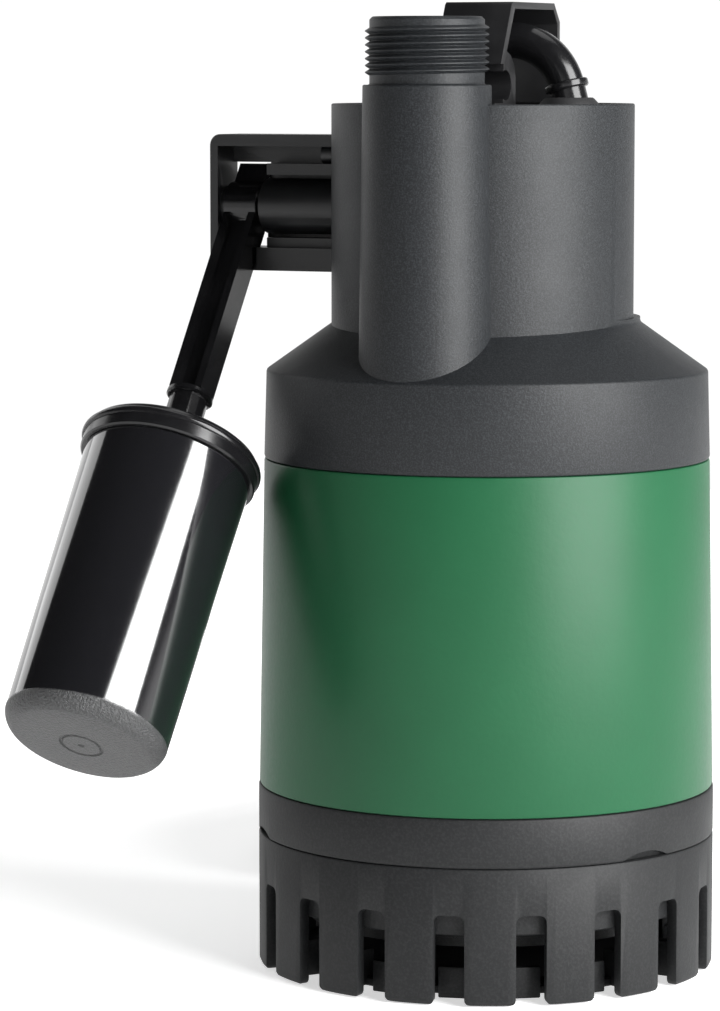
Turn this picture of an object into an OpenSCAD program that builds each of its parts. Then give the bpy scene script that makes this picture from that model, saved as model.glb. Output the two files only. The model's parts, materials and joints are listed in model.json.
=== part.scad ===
// Submersible drainage pump with a rigid float arm.
// Z is up and the origin is on the floor under the pump's axis.
// The outlet is at the front (-Y) and the float bracket is on the left (-X).

/* [Housing] */
// Outer radius of the strainer and the intake ring
body_r = 80.5; // [78:0.1:98]
// How much the jacket narrows from its foot to its top, on the radius
jacket_draft = 1.9; // [0.5:0.1:3]
// How much the cap narrows from its foot to its shoulder edge, on the radius
cap_draft = 0.8; // [0.2:0.1:2]
// Height of the strainer
strainer_h = 47; // [46:0.1:58]
// Height of the intake ring
ring_h = 17; // [14:0.1:21]
// Height of the green jacket
jacket_h = 115.3; // [95:0.1:140]
// Height of the cap's upright shoulder
shoulder_h = 31.5; // [26:0.1:38]
// Height of the cap's cone
cone_h = 16; // [13:0.1:20]
// Height of the cap's upper cylinder, from the cone's top to the rim
cyl_h = 76.2; // [72:0.1:93]
// Radius of the cap's upper cylinder
cyl_r = 52.8; // [52:0.1:56]
// How far the upper cylinder's axis stands in front of the pump's axis
cyl_shift = 4.5; // [3:0.1:6]
// Wall of the moulded housings
wall = 3.5; // [2.8:0.1:4.2]
// Depth of the deck under the cap's rim
deck_drop = 3; // [1:0.1:5]
// Chamfer on each side of a joint between two housings
joint_chamfer = 0.9; // [0.4:0.1:1.4]
// Length of the spigots that go into the jacket
spigot_h = 6.5; // [5:0.1:8]

/* [Outlet] */
// Distance from the pump's axis to the outlet's axis
spout_y = 53.7; // [52:0.1:55]
// Radius of the outlet tube at its top
spout_r_top = 21.8; // [20.6:0.1:22.4]
// Radius of the outlet tube at its foot
spout_r_foot = 23.2; // [22:0.1:23.4]
// How far the outlet tube stands above the rim
spout_rise = 6.6; // [5:0.1:8]
// Radius of the outlet's bore
duct_r = 16; // [13:0.1:17]
// Crest radius of the outlet thread
thread_r = 20.955; // [20:0.005:21.2]
// Pitch of the outlet thread
thread_pitch = 2.309; // [2:0.001:2.4]
// Depth of the outlet thread
thread_depth = 1.479; // [1:0.001:1.6]
// Width of the flat on each crest
thread_land = 0.35; // [0.2:0.05:0.5]
// Number of crests
thread_crests = 7; // [4:1:9]
// Height of the plain neck under the thread
neck_h = 3.4; // [2:0.1:5]
// Height of the plain nose above the thread
nose_h = 3.3; // [2:0.1:5]

/* [Strainer] */
// Wall of the strainer
strainer_wall = 4; // [3:0.1:5]
// Number of inlet slots
slot_count = 18; // [14:1:20]
// Width of an inlet slot
slot_w = 10.6; // [8:0.1:13]
// Height of an inlet slot above the floor
slot_h = 31; // [25:0.1:38]
// Radius of an inlet slot's upper corners
slot_corner_r = 2.6; // [1:0.1:4]
// Radius of the lower corners of the bars between the slots
bar_corner_r = 2.2; // [1:0.1:3]
// Turn of the slots about the pump's axis
slot_phase = 3.7; // [0:0.1:19.9]
// Thickness of the strainer's floor plate
floor_t = 3; // [2:0.1:4]
// Gap between the floor plate and the surface that the pump stands on
floor_gap = 1.5; // [1:0.1:3]
// Height of the intake ring's inner skirt above the floor
skirt_z = 23.5; // [21:0.5:30]
// Height of the inner blocks' tops above the floor
block_top = 11.3; // [8:0.1:14]
// Distance of the inner blocks behind the strainer's face
block_set = 10; // [8:0.5:12]
// Width of a pry notch in the intake ring's lower edge
notch_w = 22; // [14:0.5:26]
// Height of a pry notch
notch_h = 2.7; // [1:0.1:3.5]
// Direction of the first pry notch
notch_angle = -24.3; // [-60:0.1:60]

/* [Motor and pump] */
// Outer radius of the sealed motor can
can_r = 55; // [54.6:0.1:56]
// Wall of the motor can
can_wall = 0.8; // [0.6:0.1:1.2]
// How far the motor can rises into the cap
can_rise = 18; // [15:0.5:22]
// Inner radius of the pump casing
casing_r = 60; // [59.5:0.1:61.5]
// Height of the pump casing's mouth above the floor
casing_z = 20; // [17:0.5:22]
// Outer radius of the impeller
impeller_r = 55; // [44:0.5:57]
// Height of the impeller's vanes
vane_h = 10; // [7:0.5:11]
// Number of impeller vanes
vane_count = 6; // [4:1:8]
// Radius of the suction eye
eye_r = 18; // [14:0.5:22]
// Radius of the stator's bore
bore_r = 29; // [26:0.1:32]
// Air gap between stator and rotor
air_gap = 0.6; // [0.4:0.1:1]
// Number of stator slots
stator_slots = 24; // [18:6:24]
// Height of the stator's end windings
winding_h = 15; // [10:0.5:18]
// Radius of the shaft at its two ends
shaft_r = 6; // [5:0.1:7]
// Radius of the shaft in the rotor
core_shaft_r = 7.5; // [7.2:0.1:9]
// Radius of the tie bolts' circle
tie_r = 67.6; // [67.2:0.1:68]
// Radius of a tie bolt
bolt_r = 2.5; // [2:0.1:3]

/* [Handle and gland] */
// Width of the handle's strap
handle_w = 25; // [20:0.5:30]
// Depth of the handle from front to back
handle_d = 45; // [40:0.5:48]
// Height of the handle above the deck
handle_h = 38; // [34:0.5:44]
// Place of the handle's front edge
handle_y = -8.6; // [-10:0.1:-7]
// Thickness of the handle's strap
strap_t = 2.3; // [1.8:0.1:3]
// Radius of the cable clip in the handle's front leg
clip_r = 5.2; // [4.6:0.1:5.6]
// Radius of the cable boot
boot_r = 6; // [5.4:0.1:6.6]
// Bend radius of the cable boot
boot_bend = 22; // [20:0.5:24]
// Tilt of the boot's collar
boot_tilt = 10; // [5:1:15]

/* [Float bracket] */
// Distance from the body's side to the middle of the float arm
arm_out = 12; // [11:0.1:16]
// Height of the float's pin below the cap's rim
pin_drop = 36.8; // [34:0.1:42]
// Height of the bracket
bracket_h = 48.4; // [46:0.1:58]
// Height of the bracket below the pin
bracket_below = 22.8; // [22:0.1:27]
// How far the bracket reaches in front of the pin
bracket_front = 9; // [8:0.1:11]
// How far the bracket reaches behind the pin
bracket_back = 7.3; // [6:0.1:9]
// Thickness of the bracket's top bar
top_bar_t = 4.2; // [3:0.1:4.4]
// Thickness of the bracket's bottom bar
bottom_bar_t = 8.2; // [5:0.1:9]
// Thickness of the bracket's end plate and back web
plate_t = 3; // [2.4:0.1:4]
// Radius of the tube that holds the reed switch
switch_tube_r = 9.9; // [8:0.1:11]
// Radius of the float's pin
pin_r = 3; // [2:0.1:4]

/* [Float] */
// Width of the arm across the pin's direction
arm_w = 12.4; // [10:0.1:14]
// Thickness of the arm in its swinging plane
arm_t = 11; // [8:0.1:11.6]
// Angle at which the arm hangs forward of straight down
arm_angle = 36.5; // [35:0.5:42]
// Distance from the pin to the lid's upper face
lid_at = 102.9; // [96:0.1:122]
// Radius of the float's lid
lid_r = 32.2; // [28:0.1:33]
// Thickness of the lid's rim
lid_t = 9; // [6:0.1:11]
// Radius of the float's body under the lid
float_r = 29.6; // [26:0.1:30]
// How much the float's body narrows to its foot, on the radius
float_draft = 1.3; // [0.5:0.1:2]
// Length of the float below the lid's upper face
float_len = 117; // [98:0.1:141]
// Wall of the float
float_wall = 2; // [1.6:0.1:3]

/* [Cable] */
// Radius of the mains cable
cord_r = 4.5; // [4:0.1:4.5]
// Mean radius of the stored coil
coil_r = 67.5; // [64:0.5:70]
// Turns side by side in the coil
coil_columns = 4; // [3:1:4]
// Layers of turns in the coil
coil_layers = 6; // [4:1:7]

/* [Hidden] */
$fn = 96;

snug = 0.1;          // gap on the radius of parts that are fixed together
run_gap = 0.5;       // gap beside parts that turn
shaft_gap = 0.03;    // gap on the radius of the shaft in its bearings
pin_gap = 0.05;      // gap on the radius of the float's pin in the arm
eps = 0.01;

// Heights, stacked up from the floor.
ring_z = strainer_h;
jacket_z = ring_z + ring_h;
cap_z = jacket_z + jacket_h;
cone_z = cap_z + shoulder_h;
cyl_z = cone_z + cone_h;
rim_z = cyl_z + cyl_h;
deck_z = rim_z - deck_drop;
can_top = cap_z + can_rise;
pin_z = rim_z - pin_drop;

// Radii of the housings.
jacket_r_foot = body_r - 0.3;
jacket_r_top = jacket_r_foot - jacket_draft;
cap_r_foot = jacket_r_top;
cap_r_edge = cap_r_foot - cap_draft;
edge_round = 1.4;
cone_top_r = cyl_r + 0.6;
spigot_r_top = jacket_r_top - wall - snug;
spigot_r_foot = jacket_r_foot - wall - snug;
spigot_t = 3;
seal_r = 0.93;
seal_groove = 1.8;
seal_w = 2.4;
strainer_r_in = body_r - strainer_wall;
block_t = 4;
block_foot = 0.5;
spoke_w = 5;
spoke_top = 14;

// Outlet.
spout_top = rim_z + spout_rise;
thread_z = spout_top + neck_h;
nose_z = thread_z + thread_crests * thread_pitch;
nose_r = thread_r - thread_depth;
outlet_top = nose_z + nose_h;

// Motor and pump, stacked up from the casing's mouth.
suction_t = 3;
impeller_z = casing_z + suction_t + run_gap;
disc_t = 3;
impeller_top = impeller_z + vane_h + disc_t;
flange_z = impeller_top + 2;
flange_floor = 4;
can_foot = flange_z + 10.5;
carrier_z = flange_z + 24.5;
carrier_t = 4;
lower_bearing_z = carrier_z + carrier_t;
lower_bearing_h = 11;
lower_bearing_r = 17.5;
upper_bearing_h = 10;
upper_bearing_r = 16;
lid_plate_t = 5;
upper_bearing_z = can_top - lid_plate_t - upper_bearing_h - 1;
end_gap = 3;
can_in = can_r - can_wall;
stack_z = lower_bearing_z + lower_bearing_h + winding_h + end_gap;
stack_top = upper_bearing_z - winding_h - end_gap;
stator_r = can_in - snug;
slot_r = bore_r + 15;
stator_slot_w = 3.4;
end_ring_h = 6;
seal_seat_r = 12;
lip_seal_r = 13;
lip_seal_h = 6;
washer_t = 1.5;
nut_h = 5;
socket_h = 12;
socket_wall = 4;
socket_r = can_r + snug;
box_r = cyl_r - wall;
box_top = deck_z - wall;
tie_angles = [90, 210, 330];
tie_boss_r = 4.4;
tie_top = cap_z + 20;
duct_z = can_top + 8;

// Handle, gland and boot.
boot_y = 14;
boot_center = [2.8, boot_y, deck_z + 3.1];
boot_foot = 6.5;
boot_run = 19.8;
boot_tip_r = cord_r + 0.7;
boot_inset = 0.05;   // step between the bend and its straight ends
gland_x = boot_center[0] + boot_bend * cos(boot_tilt) + boot_foot * sin(boot_tilt) / 2;
handle_back = handle_y + handle_d;
handle_top = deck_z + handle_h;
flap_lean = 10.1;
flap_drop = 21.4;
foot_t = 3.2;
screw_places = [handle_y - 11.6, handle_back - 7.5];
handle_screw_r = 1.75;
screw_head_r = 3.2;
screw_sink = 1.8;

// Float bracket.
arm_x = body_r + arm_out;
bracket_z = pin_z - bracket_below;
bracket_top = bracket_z + bracket_h;
cheek = 1.8;
end_in = -arm_x - arm_w / 2 - 0.3 - cheek;
end_out = end_in - plate_t;
tube_end = -arm_x + arm_w / 2 + 0.3;
switch_r = 3.9;
switch_len = 22;
pin_bite = 6;
bracket_screw_r = 1.8;
bracket_boss_r = 3.5;
bracket_screw_z = [bracket_z + bottom_bar_t / 2, bracket_top - top_bar_t - 2.8];
bracket_bite = 8;
rib_t = 4;
rib_off = switch_tube_r + 1.3;
window_rise = 15.5;
window_waist = 9.8;
tube_set = 1.6;
rib_set = 2.5;
bracket_corner_r = 4;

// Float, drawn hanging straight down from the pin and then turned forward.
hub_r = 8.6;
head_len = 15;
head_w = arm_w - 0.2;
head_t = 9.5;
collar_r = 8.3;
collar_h = 2.2;
neck_len = 20.3;
neck_r = 6.8;
socket_depth = 9;
rail_t = 2.7;
web_t = 3.6;
lip_h = 4.4;
band_set = 0.9;
magnet_r = 3;
magnet_len = 9;
dome_r = 7;
mark_r = 7.5;

// Cable: the free stretch leaves the boot, drops behind the pump and meets the coil.
cord_sides = 10;
coil_center = [-73, 182];
CORD_ROUTE = [
  [-17, 14, 325], [-26, 14, 325], [-35, 16, 323.5], [-43, 20.5, 319.5], [-49, 28, 313.5],
  [-53, 37, 305.5], [-56, 46, 294], [-57.5, 54, 280], [-58.5, 60, 264], [-59, 64, 247],
  [-59, 66.5, 229], [-59, 67.5, 205], [-59, 68, 180], [-59, 68, 150], [-59, 68, 120],
  [-59.5, 68.5, 95], [-60.5, 69.5, 72], [-63.5, 72, 50], [-70, 77.5, 31], [-79.5, 85.5, 16],
  [-90, 94, 7], [-101, 101, 4.5], [-112, 105.5, 4.5]
];
coil_w = coil_columns * 2 * cord_r;
coil_h = coil_layers * 2 * cord_r;
tie_angle = 22.5;
tie_w = 8;
tie_t = 1.5;
tie_gap = 0.4;
plug_angle = 112.5;
plug_ring_r = 62;
plug_r = 18.5;
plug_len = 58;
plug_shoulder = 43;
plug_tilt = 10;
plug_back = 30;
plug_pin_r = 2.4;
plug_pin_len = 19;
plug_pin_gap = 19;

// Height of the cone's surface above a radius.
function cone_at(r) =
  cone_z + cone_h * (cap_r_edge - edge_round - r) / (cap_r_edge - edge_round - cone_top_r);
// Height of the water space's roof under the cone.
function roof_at(r) = cone_at(r) - wall * 1.25;
function arc(cx, cy, r, from, to, steps = 8) =
  [for (i = [0:steps]) let (a = from + (to - from) * i / steps) [cx + r * cos(a), cy + r * sin(a)]];
function unit(v) = v / norm(v);

module ring(r_out, r_in, z, h) {
  translate([0, 0, z])
    difference() {
      cylinder(r = r_out, h = h);
      translate([0, 0, -1]) cylinder(r = r_in, h = h + 2);
    }
}

module around(angles) {
  for (a = angles) rotate([0, 0, a]) children();
}

module at_spout() {
  translate([0, -spout_y, 0]) children();
}

module at_cyl() {
  translate([0, -cyl_shift, 0]) children();
}

// The float's own frame: the pin's axis is X through the origin and the arm hangs along -Z.
module at_float() {
  translate([-arm_x, 0, pin_z]) rotate([-arm_angle, 0, 0]) children();
}

module along_x(x0, x1, r, y, z) {
  translate([x0, y, z]) rotate([0, 90, 0]) cylinder(r = r, h = x1 - x0);
}

// ---- Cap ----

module cap_outside() {
  rotate_extrude()
    polygon(concat(
      [[0, cap_z], [cap_r_foot - joint_chamfer, cap_z], [cap_r_foot, cap_z + joint_chamfer]],
      arc(cap_r_edge - edge_round, cone_z - edge_round, edge_round, 0, 60, 6),
      [[cone_top_r, cyl_z], [0, cyl_z]]
    ));
  at_cyl()
    translate([0, 0, cone_z]) cylinder(r = cyl_r, h = rim_z - cone_z);
}

// The can's place, the annulus that the water rises through, and its sloping roof.
module cap_water_space() {
  out = cap_r_foot - wall;
  post = socket_r + socket_wall;
  rotate_extrude()
    polygon([
      [0, cap_z - 1], [out, cap_z - 1], [out, cap_z + 2],
      [cap_r_edge - wall, roof_at(cap_r_edge - wall)], [post, roof_at(post)],
      [post, can_top - socket_h], [socket_r, can_top - socket_h], [socket_r, can_top],
      [0, can_top]
    ]);
}

module cap_box() {
  difference() {
    at_cyl()
      translate([0, 0, can_top - eps]) cylinder(r = box_r, h = box_top - can_top + eps);
    at_spout()
      translate([0, 0, can_top - 1]) cylinder(r = duct_r + wall, h = box_top);
  }
}

module outlet_thread() {
  rotate_extrude()
    polygon(concat(
      [[0, spout_top - 1], [nose_r, spout_top - 1], [nose_r, thread_z]],
      [for (i = [0:thread_crests - 1], p = [
        [nose_r, 0], [thread_r, (thread_pitch - thread_land) / 2],
        [thread_r, (thread_pitch + thread_land) / 2], [nose_r, thread_pitch]
      ]) [p[0], thread_z + i * thread_pitch + p[1]]],
      [[nose_r, outlet_top - 1], [nose_r - 1, outlet_top], [0, outlet_top]]
    ));
}

module cap() {
  color([0.16, 0.17, 0.18])
    difference() {
      union() {
        difference() {
          cap_outside();
          at_cyl()
            translate([0, 0, deck_z]) cylinder(r = cyl_r - 3, h = deck_drop + 1);
          cap_water_space();
        }
        at_spout()
          translate([0, 0, cone_z - 3])
            cylinder(r1 = spout_r_foot, r2 = spout_r_top, h = spout_top - cone_z + 3);
        at_spout() outlet_thread();
        ring(spigot_r_top, spigot_r_top - spigot_t, cap_z - spigot_h, spigot_h + 3);
        // the spigot's root, which reaches into the wall
        ring(cap_r_foot - wall / 2, spigot_r_top - spigot_t, cap_z, 3);
        around(tie_angles)
          translate([tie_r, 0, cap_z + 1])
            cylinder(r = tie_boss_r, h = roof_at(tie_r) - cap_z + 1);
      }
      cap_box();
      at_spout()
        translate([0, 0, duct_z]) cylinder(r = duct_r, h = outlet_top);
      // groove for the can's O-ring
      ring(socket_r + 2.4, socket_r - 1, can_top - 8, 3);
      // groove for the jacket's upper seal
      ring(spigot_r_top + 1, spigot_r_top - seal_groove, cap_z - 4.6, seal_w);
      around(tie_angles)
        translate([tie_r, 0, cap_z - 1]) cylinder(r = bolt_r + snug, h = tie_top - cap_z + 2);
      translate([gland_x, boot_y, box_top - 1]) cylinder(r = boot_r + 2 + snug, h = wall + 2);
      for (y = screw_places)
        translate([0, y, box_top - 1]) cylinder(r = handle_screw_r + snug, h = wall + 2);
      along_x(-cyl_r - 1, -cyl_r + 9, switch_r + snug, 0, pin_z);
      for (z = bracket_screw_z)
        along_x(-cyl_r - 1, -cyl_r + 9, bracket_screw_r + snug, 0, z);
    }
}

// ---- Handle, gland and boot ----

module handle() {
  zt = handle_top;
  t = strap_t;
  flap_foot = [handle_y - flap_lean, zt - flap_drop];
  color([0.09, 0.09, 0.10])
    difference() {
      translate([-handle_w / 2, 0, 0])
        rotate([90, 0, 90])
          linear_extrude(handle_w)
            difference() {
              polygon([
                [handle_y + 0.8, zt], [handle_back - 5.5, zt], [handle_back, zt - 6.5],
                [handle_back, deck_z], [handle_back - 13, deck_z],
                [handle_back - 13, deck_z + foot_t], [handle_back - t, deck_z + foot_t],
                [handle_back - t, zt - 7.3], [handle_back - 6.2, zt - t],
                [handle_y + 2.6, zt - t], [handle_y - 4.6, zt - 17], [handle_y - 1, zt - 18.4],
                [handle_y + 2.4, zt - 22], [handle_y + 3.4, zt - 26],
                [handle_y + 3.4, deck_z], [handle_y - 15.5, deck_z],
                [handle_y - 15.5, deck_z + foot_t], [handle_y - 8, deck_z + foot_t],
                [handle_y - 7.6, flap_foot[1]], [flap_foot[0], flap_foot[1]],
                [handle_y - 0.4, zt - 0.9]
              ]);
              translate([handle_y - 5.8, deck_z + foot_t + clip_r + 0.9]) circle(r = clip_r);
            }
      for (y = screw_places)
        translate([0, y, deck_z]) {
          translate([0, 0, -1]) cylinder(r = handle_screw_r + snug, h = foot_t + 2);
          translate([0, 0, foot_t - screw_sink])
            cylinder(r1 = handle_screw_r + snug, r2 = screw_head_r + snug, h = screw_sink + eps);
        }
    }
}

module handle_screws() {
  color([0.62, 0.63, 0.64])
    for (y = screw_places)
      translate([0, y, 0])
        difference() {
          union() {
            translate([0, 0, box_top - 4]) cylinder(r = handle_screw_r, h = deck_z + foot_t - box_top + 3);
            translate([0, 0, deck_z + foot_t - screw_sink])
              cylinder(r1 = handle_screw_r, r2 = screw_head_r, h = screw_sink - 0.05);
          }
          translate([0, 0, deck_z + foot_t - 1.2]) cylinder(r = 1.6, h = 2, $fn = 6);
        }
}

module cable_gland() {
  color([0.07, 0.07, 0.08])
    translate([gland_x, boot_y, 0])
      difference() {
        rotate_extrude()
          polygon([
            [0, box_top - 6], [boot_r + 4.5, box_top - 6], [boot_r + 4.5, box_top - snug],
            [boot_r + 2, box_top - snug], [boot_r + 2, deck_z], [boot_r + 7, deck_z],
            [boot_r + 6.2, deck_z + 1.6], [boot_r + 2.4, deck_z + 5], [0, deck_z + 5]
          ]);
        translate([0, 0, box_top - 7]) cylinder(r = boot_r - 1.2, h = 30);
      }
}

// Elbow in the XZ plane: up out of the gland, over to the left, and a tapering tail.
module cable_boot() {
  color([0.05, 0.05, 0.055])
    translate(boot_center) {
      rotate([90, 0, 0])
        rotate([0, 0, boot_tilt])
          rotate_extrude(angle = 90 - boot_tilt) translate([boot_bend, 0]) circle(r = boot_r, $fn = 48);
      rotate([0, -boot_tilt, 0]) {
        translate([boot_bend, 0, -boot_foot]) cylinder(r = boot_r - boot_inset, h = boot_foot + 0.3);
        translate([boot_bend, 0, -1]) cylinder(r = boot_r + 1.3, h = 2.6);
      }
      translate([-boot_run, 0, boot_bend])
        rotate([0, 90, 0]) cylinder(r1 = boot_tip_r, r2 = boot_r - boot_inset, h = boot_run + 0.3);
    }
}

// ---- Cable ----

module tube_along(points, r, sides) {
  n = len(points);
  tangents = [for (i = [0:n - 1]) unit(points[min(i + 1, n - 1)] - points[max(i - 1, 0)])];
  rings = [for (i = [0:n - 1])
    let (t = tangents[i], u = unit(cross(t, [0.31, 0.95, 0.02])), v = cross(t, u))
      for (k = [0:sides - 1]) let (a = 360 * k / sides) points[i] + r * (cos(a) * u + sin(a) * v)];
  polyhedron(
    rings,
    concat(
      [[for (k = [0:sides - 1]) k]],
      [for (i = [0:n - 2], k = [0:sides - 1])
        [i * sides + k, (i + 1) * sides + k, (i + 1) * sides + (k + 1) % sides, i * sides + (k + 1) % sides]],
      [[for (k = [sides - 1:-1:0]) (n - 1) * sides + k]]
    ),
    convexity = 6
  );
}

module cord_tube() {
  color([0.06, 0.06, 0.065]) tube_along(CORD_ROUTE, cord_r, cord_sides);
}

module cord_coil() {
  c = 3;
  color([0.06, 0.06, 0.065])
    translate([coil_center[0], coil_center[1], 0])
      rotate_extrude()
        translate([coil_r - coil_w / 2, 0])
          polygon([
            [c, 0], [coil_w - c, 0], [coil_w, c], [coil_w, coil_h - c], [coil_w - c, coil_h],
            [c, coil_h], [0, coil_h - c], [0, c]
          ]);
}

module coil_tie() {
  w = coil_w + 2 * tie_gap;
  h = coil_h + tie_gap;
  color([0.12, 0.12, 0.12])
    translate([coil_center[0], coil_center[1], 0])
      rotate([0, 0, tie_angle])
        translate([coil_r, tie_w / 2, 0])
          rotate([90, 0, 0])
            linear_extrude(tie_w)
              difference() {
                translate([-w / 2 - tie_t, 0]) square([w + 2 * tie_t, h + tie_t]);
                translate([-w / 2, -1]) square([w, h + 1]);
              }
}

// The plug lies on the coil with its cable end behind and its pins ahead, along local X.
module at_plug() {
  side = [cos(plug_angle), sin(plug_angle)];
  ahead = [side[1], -side[0]];
  foot = [coil_center[0], coil_center[1]] + plug_ring_r * side - plug_back * ahead;
  translate([foot[0], foot[1], coil_h + plug_r * cos(plug_tilt) - plug_shoulder * sin(plug_tilt) + 0.3])
    rotate([0, -plug_tilt, atan2(ahead[1], ahead[0])]) children();
}

module plug_body() {
  color([0.07, 0.07, 0.075])
    at_plug()
      rotate([0, 90, 0])
        difference() {
          rotate_extrude()
            polygon([
              [0, 0], [6, 0], [7.5, 18], [10, 23], [14, 34], [plug_r - 1, plug_shoulder - 2],
              [plug_r, plug_shoulder],
              [plug_r, plug_len - 1.5], [plug_r - 1.5, plug_len], [0, plug_len]
            ]);
          for (s = [-1, 1])
            translate([0, s * plug_pin_gap / 2, plug_len - 12]) cylinder(r = plug_pin_r + snug, h = 14);
        }
}

module plug_pins() {
  color([0.80, 0.78, 0.70])
    at_plug()
      rotate([0, 90, 0])
        for (s = [-1, 1])
          translate([0, s * plug_pin_gap / 2, plug_len - 12 + snug]) {
            cylinder(r = plug_pin_r, h = 10 + plug_pin_len);
            translate([0, 0, 10 + plug_pin_len]) cylinder(r1 = plug_pin_r, r2 = plug_pin_r - 0.9, h = 1.8);
          }
}

// ---- Float bracket ----

module bracket_frame() {
  reach = -end_out - cyl_r + 10;
  depth = bracket_front + bracket_back;
  inside_z = bracket_z + bottom_bar_t;
  r = bracket_corner_r;
  difference() {
    translate([end_out, bracket_back, bracket_z])
      rotate([90, 0, 0])
        linear_extrude(depth)
          polygon(concat(
            [[reach, 0], [reach, bracket_h]],
            arc(r, bracket_h - r, r, 90, 180, 6),
            arc(1.5, 1.5, 1.5, 180, 270, 4)
          ));
    // the open front
    translate([end_in, -bracket_front - 1, inside_z])
      cube([reach, depth + 1 - plate_t, bracket_h - bottom_bar_t - top_bar_t]);
    // the window behind the arm, narrower below its waist
    translate([end_in, 0, inside_z])
      cube([tube_end - 1.3 - end_in, bracket_back + 1, pin_z - inside_z]);
    translate([end_in, 0, pin_z - window_waist])
      cube([tube_end - end_in, bracket_back + 1, window_waist + window_rise]);
  }
}

module float_bracket() {
  color([0.10, 0.10, 0.11])
    difference() {
      union() {
        bracket_frame();
        // the tube that holds the switch, with a rib above and below it
        along_x(tube_end, tube_end + tube_set + eps, 7, 0, pin_z);
        along_x(tube_end + tube_set, -cyl_r + 6, switch_tube_r, 0, pin_z);
        for (s = [-1, 1])
          translate([tube_end + rib_set, -bracket_front / 2, pin_z + s * (rib_off + rib_t / 2) - rib_t / 2])
            cube([cyl_r, bracket_front / 2 + bracket_back - 1, rib_t]);
        along_x(-cyl_r - bracket_bite - 2, -cyl_r + 6, bracket_boss_r, 0, bracket_screw_z[1]);
        along_x(end_in - eps, end_in + cheek, 7, 0, pin_z);
      }
      // the seat that stops the arm
      at_float()
        translate([-arm_w / 2 - 0.8, -30, -80])
          cube([arm_w + 1.6, 30 + arm_t / 2 + 0.4, 68]);
      at_cyl()
        cylinder(r = cyl_r + snug, h = rim_z + 20);
      along_x(end_out - 1, tube_end + pin_bite + 0.3, pin_r + snug, 0, pin_z);
      along_x(-cyl_r - switch_len, -cyl_r + 10, switch_r + snug, 0, pin_z);
      for (z = bracket_screw_z)
        along_x(-cyl_r - bracket_bite - 0.5, -cyl_r + 9, bracket_screw_r + snug, 0, z);
    }
}

// Driven from inside the cap, with their heads against its wall.
module bracket_screws() {
  head_r = 3.4;
  head_x = -sqrt(pow(box_r, 2) - pow(cyl_shift + head_r, 2)) + 0.05;
  color([0.62, 0.63, 0.64])
    for (z = bracket_screw_z) {
      along_x(-cyl_r - bracket_bite, head_x + 1, bracket_screw_r, 0, z);
      along_x(head_x, head_x + 2, head_r, 0, z);
    }
}

module float_pin() {
  color([0.70, 0.71, 0.72]) along_x(end_out + 0.3, tube_end + pin_bite, pin_r, 0, pin_z);
}

module reed_switch() {
  color([0.75, 0.74, 0.70])
    along_x(-cyl_r - switch_len + 0.4, -box_r - 1, switch_r, 0, pin_z);
}

// ---- Float ----

module float_arm() {
  rail_len = lid_at - collar_h - neck_len;
  color([0.05, 0.05, 0.055])
    at_float()
      difference() {
        union() {
          along_x(-arm_w / 2, arm_w / 2, hub_r, 0, 0);
          for (s = [-1, 1])
            translate([s * (arm_w - rail_t) / 2 - rail_t / 2, -arm_t / 2, -rail_len])
              cube([rail_t, arm_t, rail_len]);
          translate([-arm_w / 2 + 1, -web_t / 2, -rail_len]) cube([arm_w - 2, web_t, rail_len]);
          translate([-head_w / 2, -head_t / 2, 0]) cube([head_w, head_t, head_len]);
          translate([0, 0, -rail_len - collar_h]) cylinder(r = collar_r, h = collar_h);
          translate([0, 0, -lid_at - socket_depth + 0.3])
            cylinder(r = neck_r, h = lid_at + socket_depth - rail_len - collar_h / 2);
        }
        along_x(-arm_w, arm_w, pin_r + pin_gap, 0, 0);
        along_x(-magnet_len / 2 - snug, arm_w, magnet_r + snug, 0, head_len - magnet_r - 2);
      }
}

module arm_magnet() {
  color([0.45, 0.46, 0.48])
    at_float()
      along_x(-magnet_len / 2, magnet_len / 2, magnet_r, 0, head_len - magnet_r - 2);
}

module float_lid() {
  skirt_r = float_r - float_wall - snug;
  color([0.06, 0.06, 0.065])
    at_float()
      translate([0, 0, -lid_at])
        difference() {
          union() {
            rotate_extrude()
              polygon(concat(
                [[0, 0]],
                arc(lid_r - 3, -1.6, 1.6, 90, 20, 4),
                arc(lid_r - 1.2, -3.2, 1.2, 80, 0, 4),
                [[lid_r, -lip_h + 0.8], [lid_r - band_set, -lip_h], [lid_r - band_set, -lid_t + 0.6],
                 [lid_r - band_set - 0.6, -lid_t], [skirt_r, -lid_t],
                 [skirt_r - 0.3, -lid_t - 5], [skirt_r - 2.3, -lid_t - 5], [skirt_r - 2, -3], [0, -3]]
              ));
            translate([0, 0, -socket_depth - 2.5]) cylinder(r = neck_r + 2.2, h = socket_depth + 2);
          }
          translate([0, 0, -socket_depth]) cylinder(r = neck_r + snug, h = socket_depth + 3);
        }
}

module float_body() {
  top = -lid_t - snug / 2;
  foot = -float_len;
  foot_r = float_r - float_draft;
  t = float_wall;
  color([0.05, 0.05, 0.055])
    at_float()
      translate([0, 0, -lid_at])
        rotate_extrude()
          polygon(concat(
            [[float_r - t, top], [float_r, top]],
            arc(foot_r - dome_r, foot + dome_r, dome_r, 0, -70, 10),
            [[mark_r + 0.6, foot], [mark_r, foot + 0.5], [mark_r - 0.6, foot], [0, foot], [0, foot + t]],
            [[mark_r, foot + t]],
            arc(foot_r - dome_r, foot + dome_r, dome_r - t, -75, 0, 8)
          ));
}

// ---- Housings below the cap ----

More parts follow.
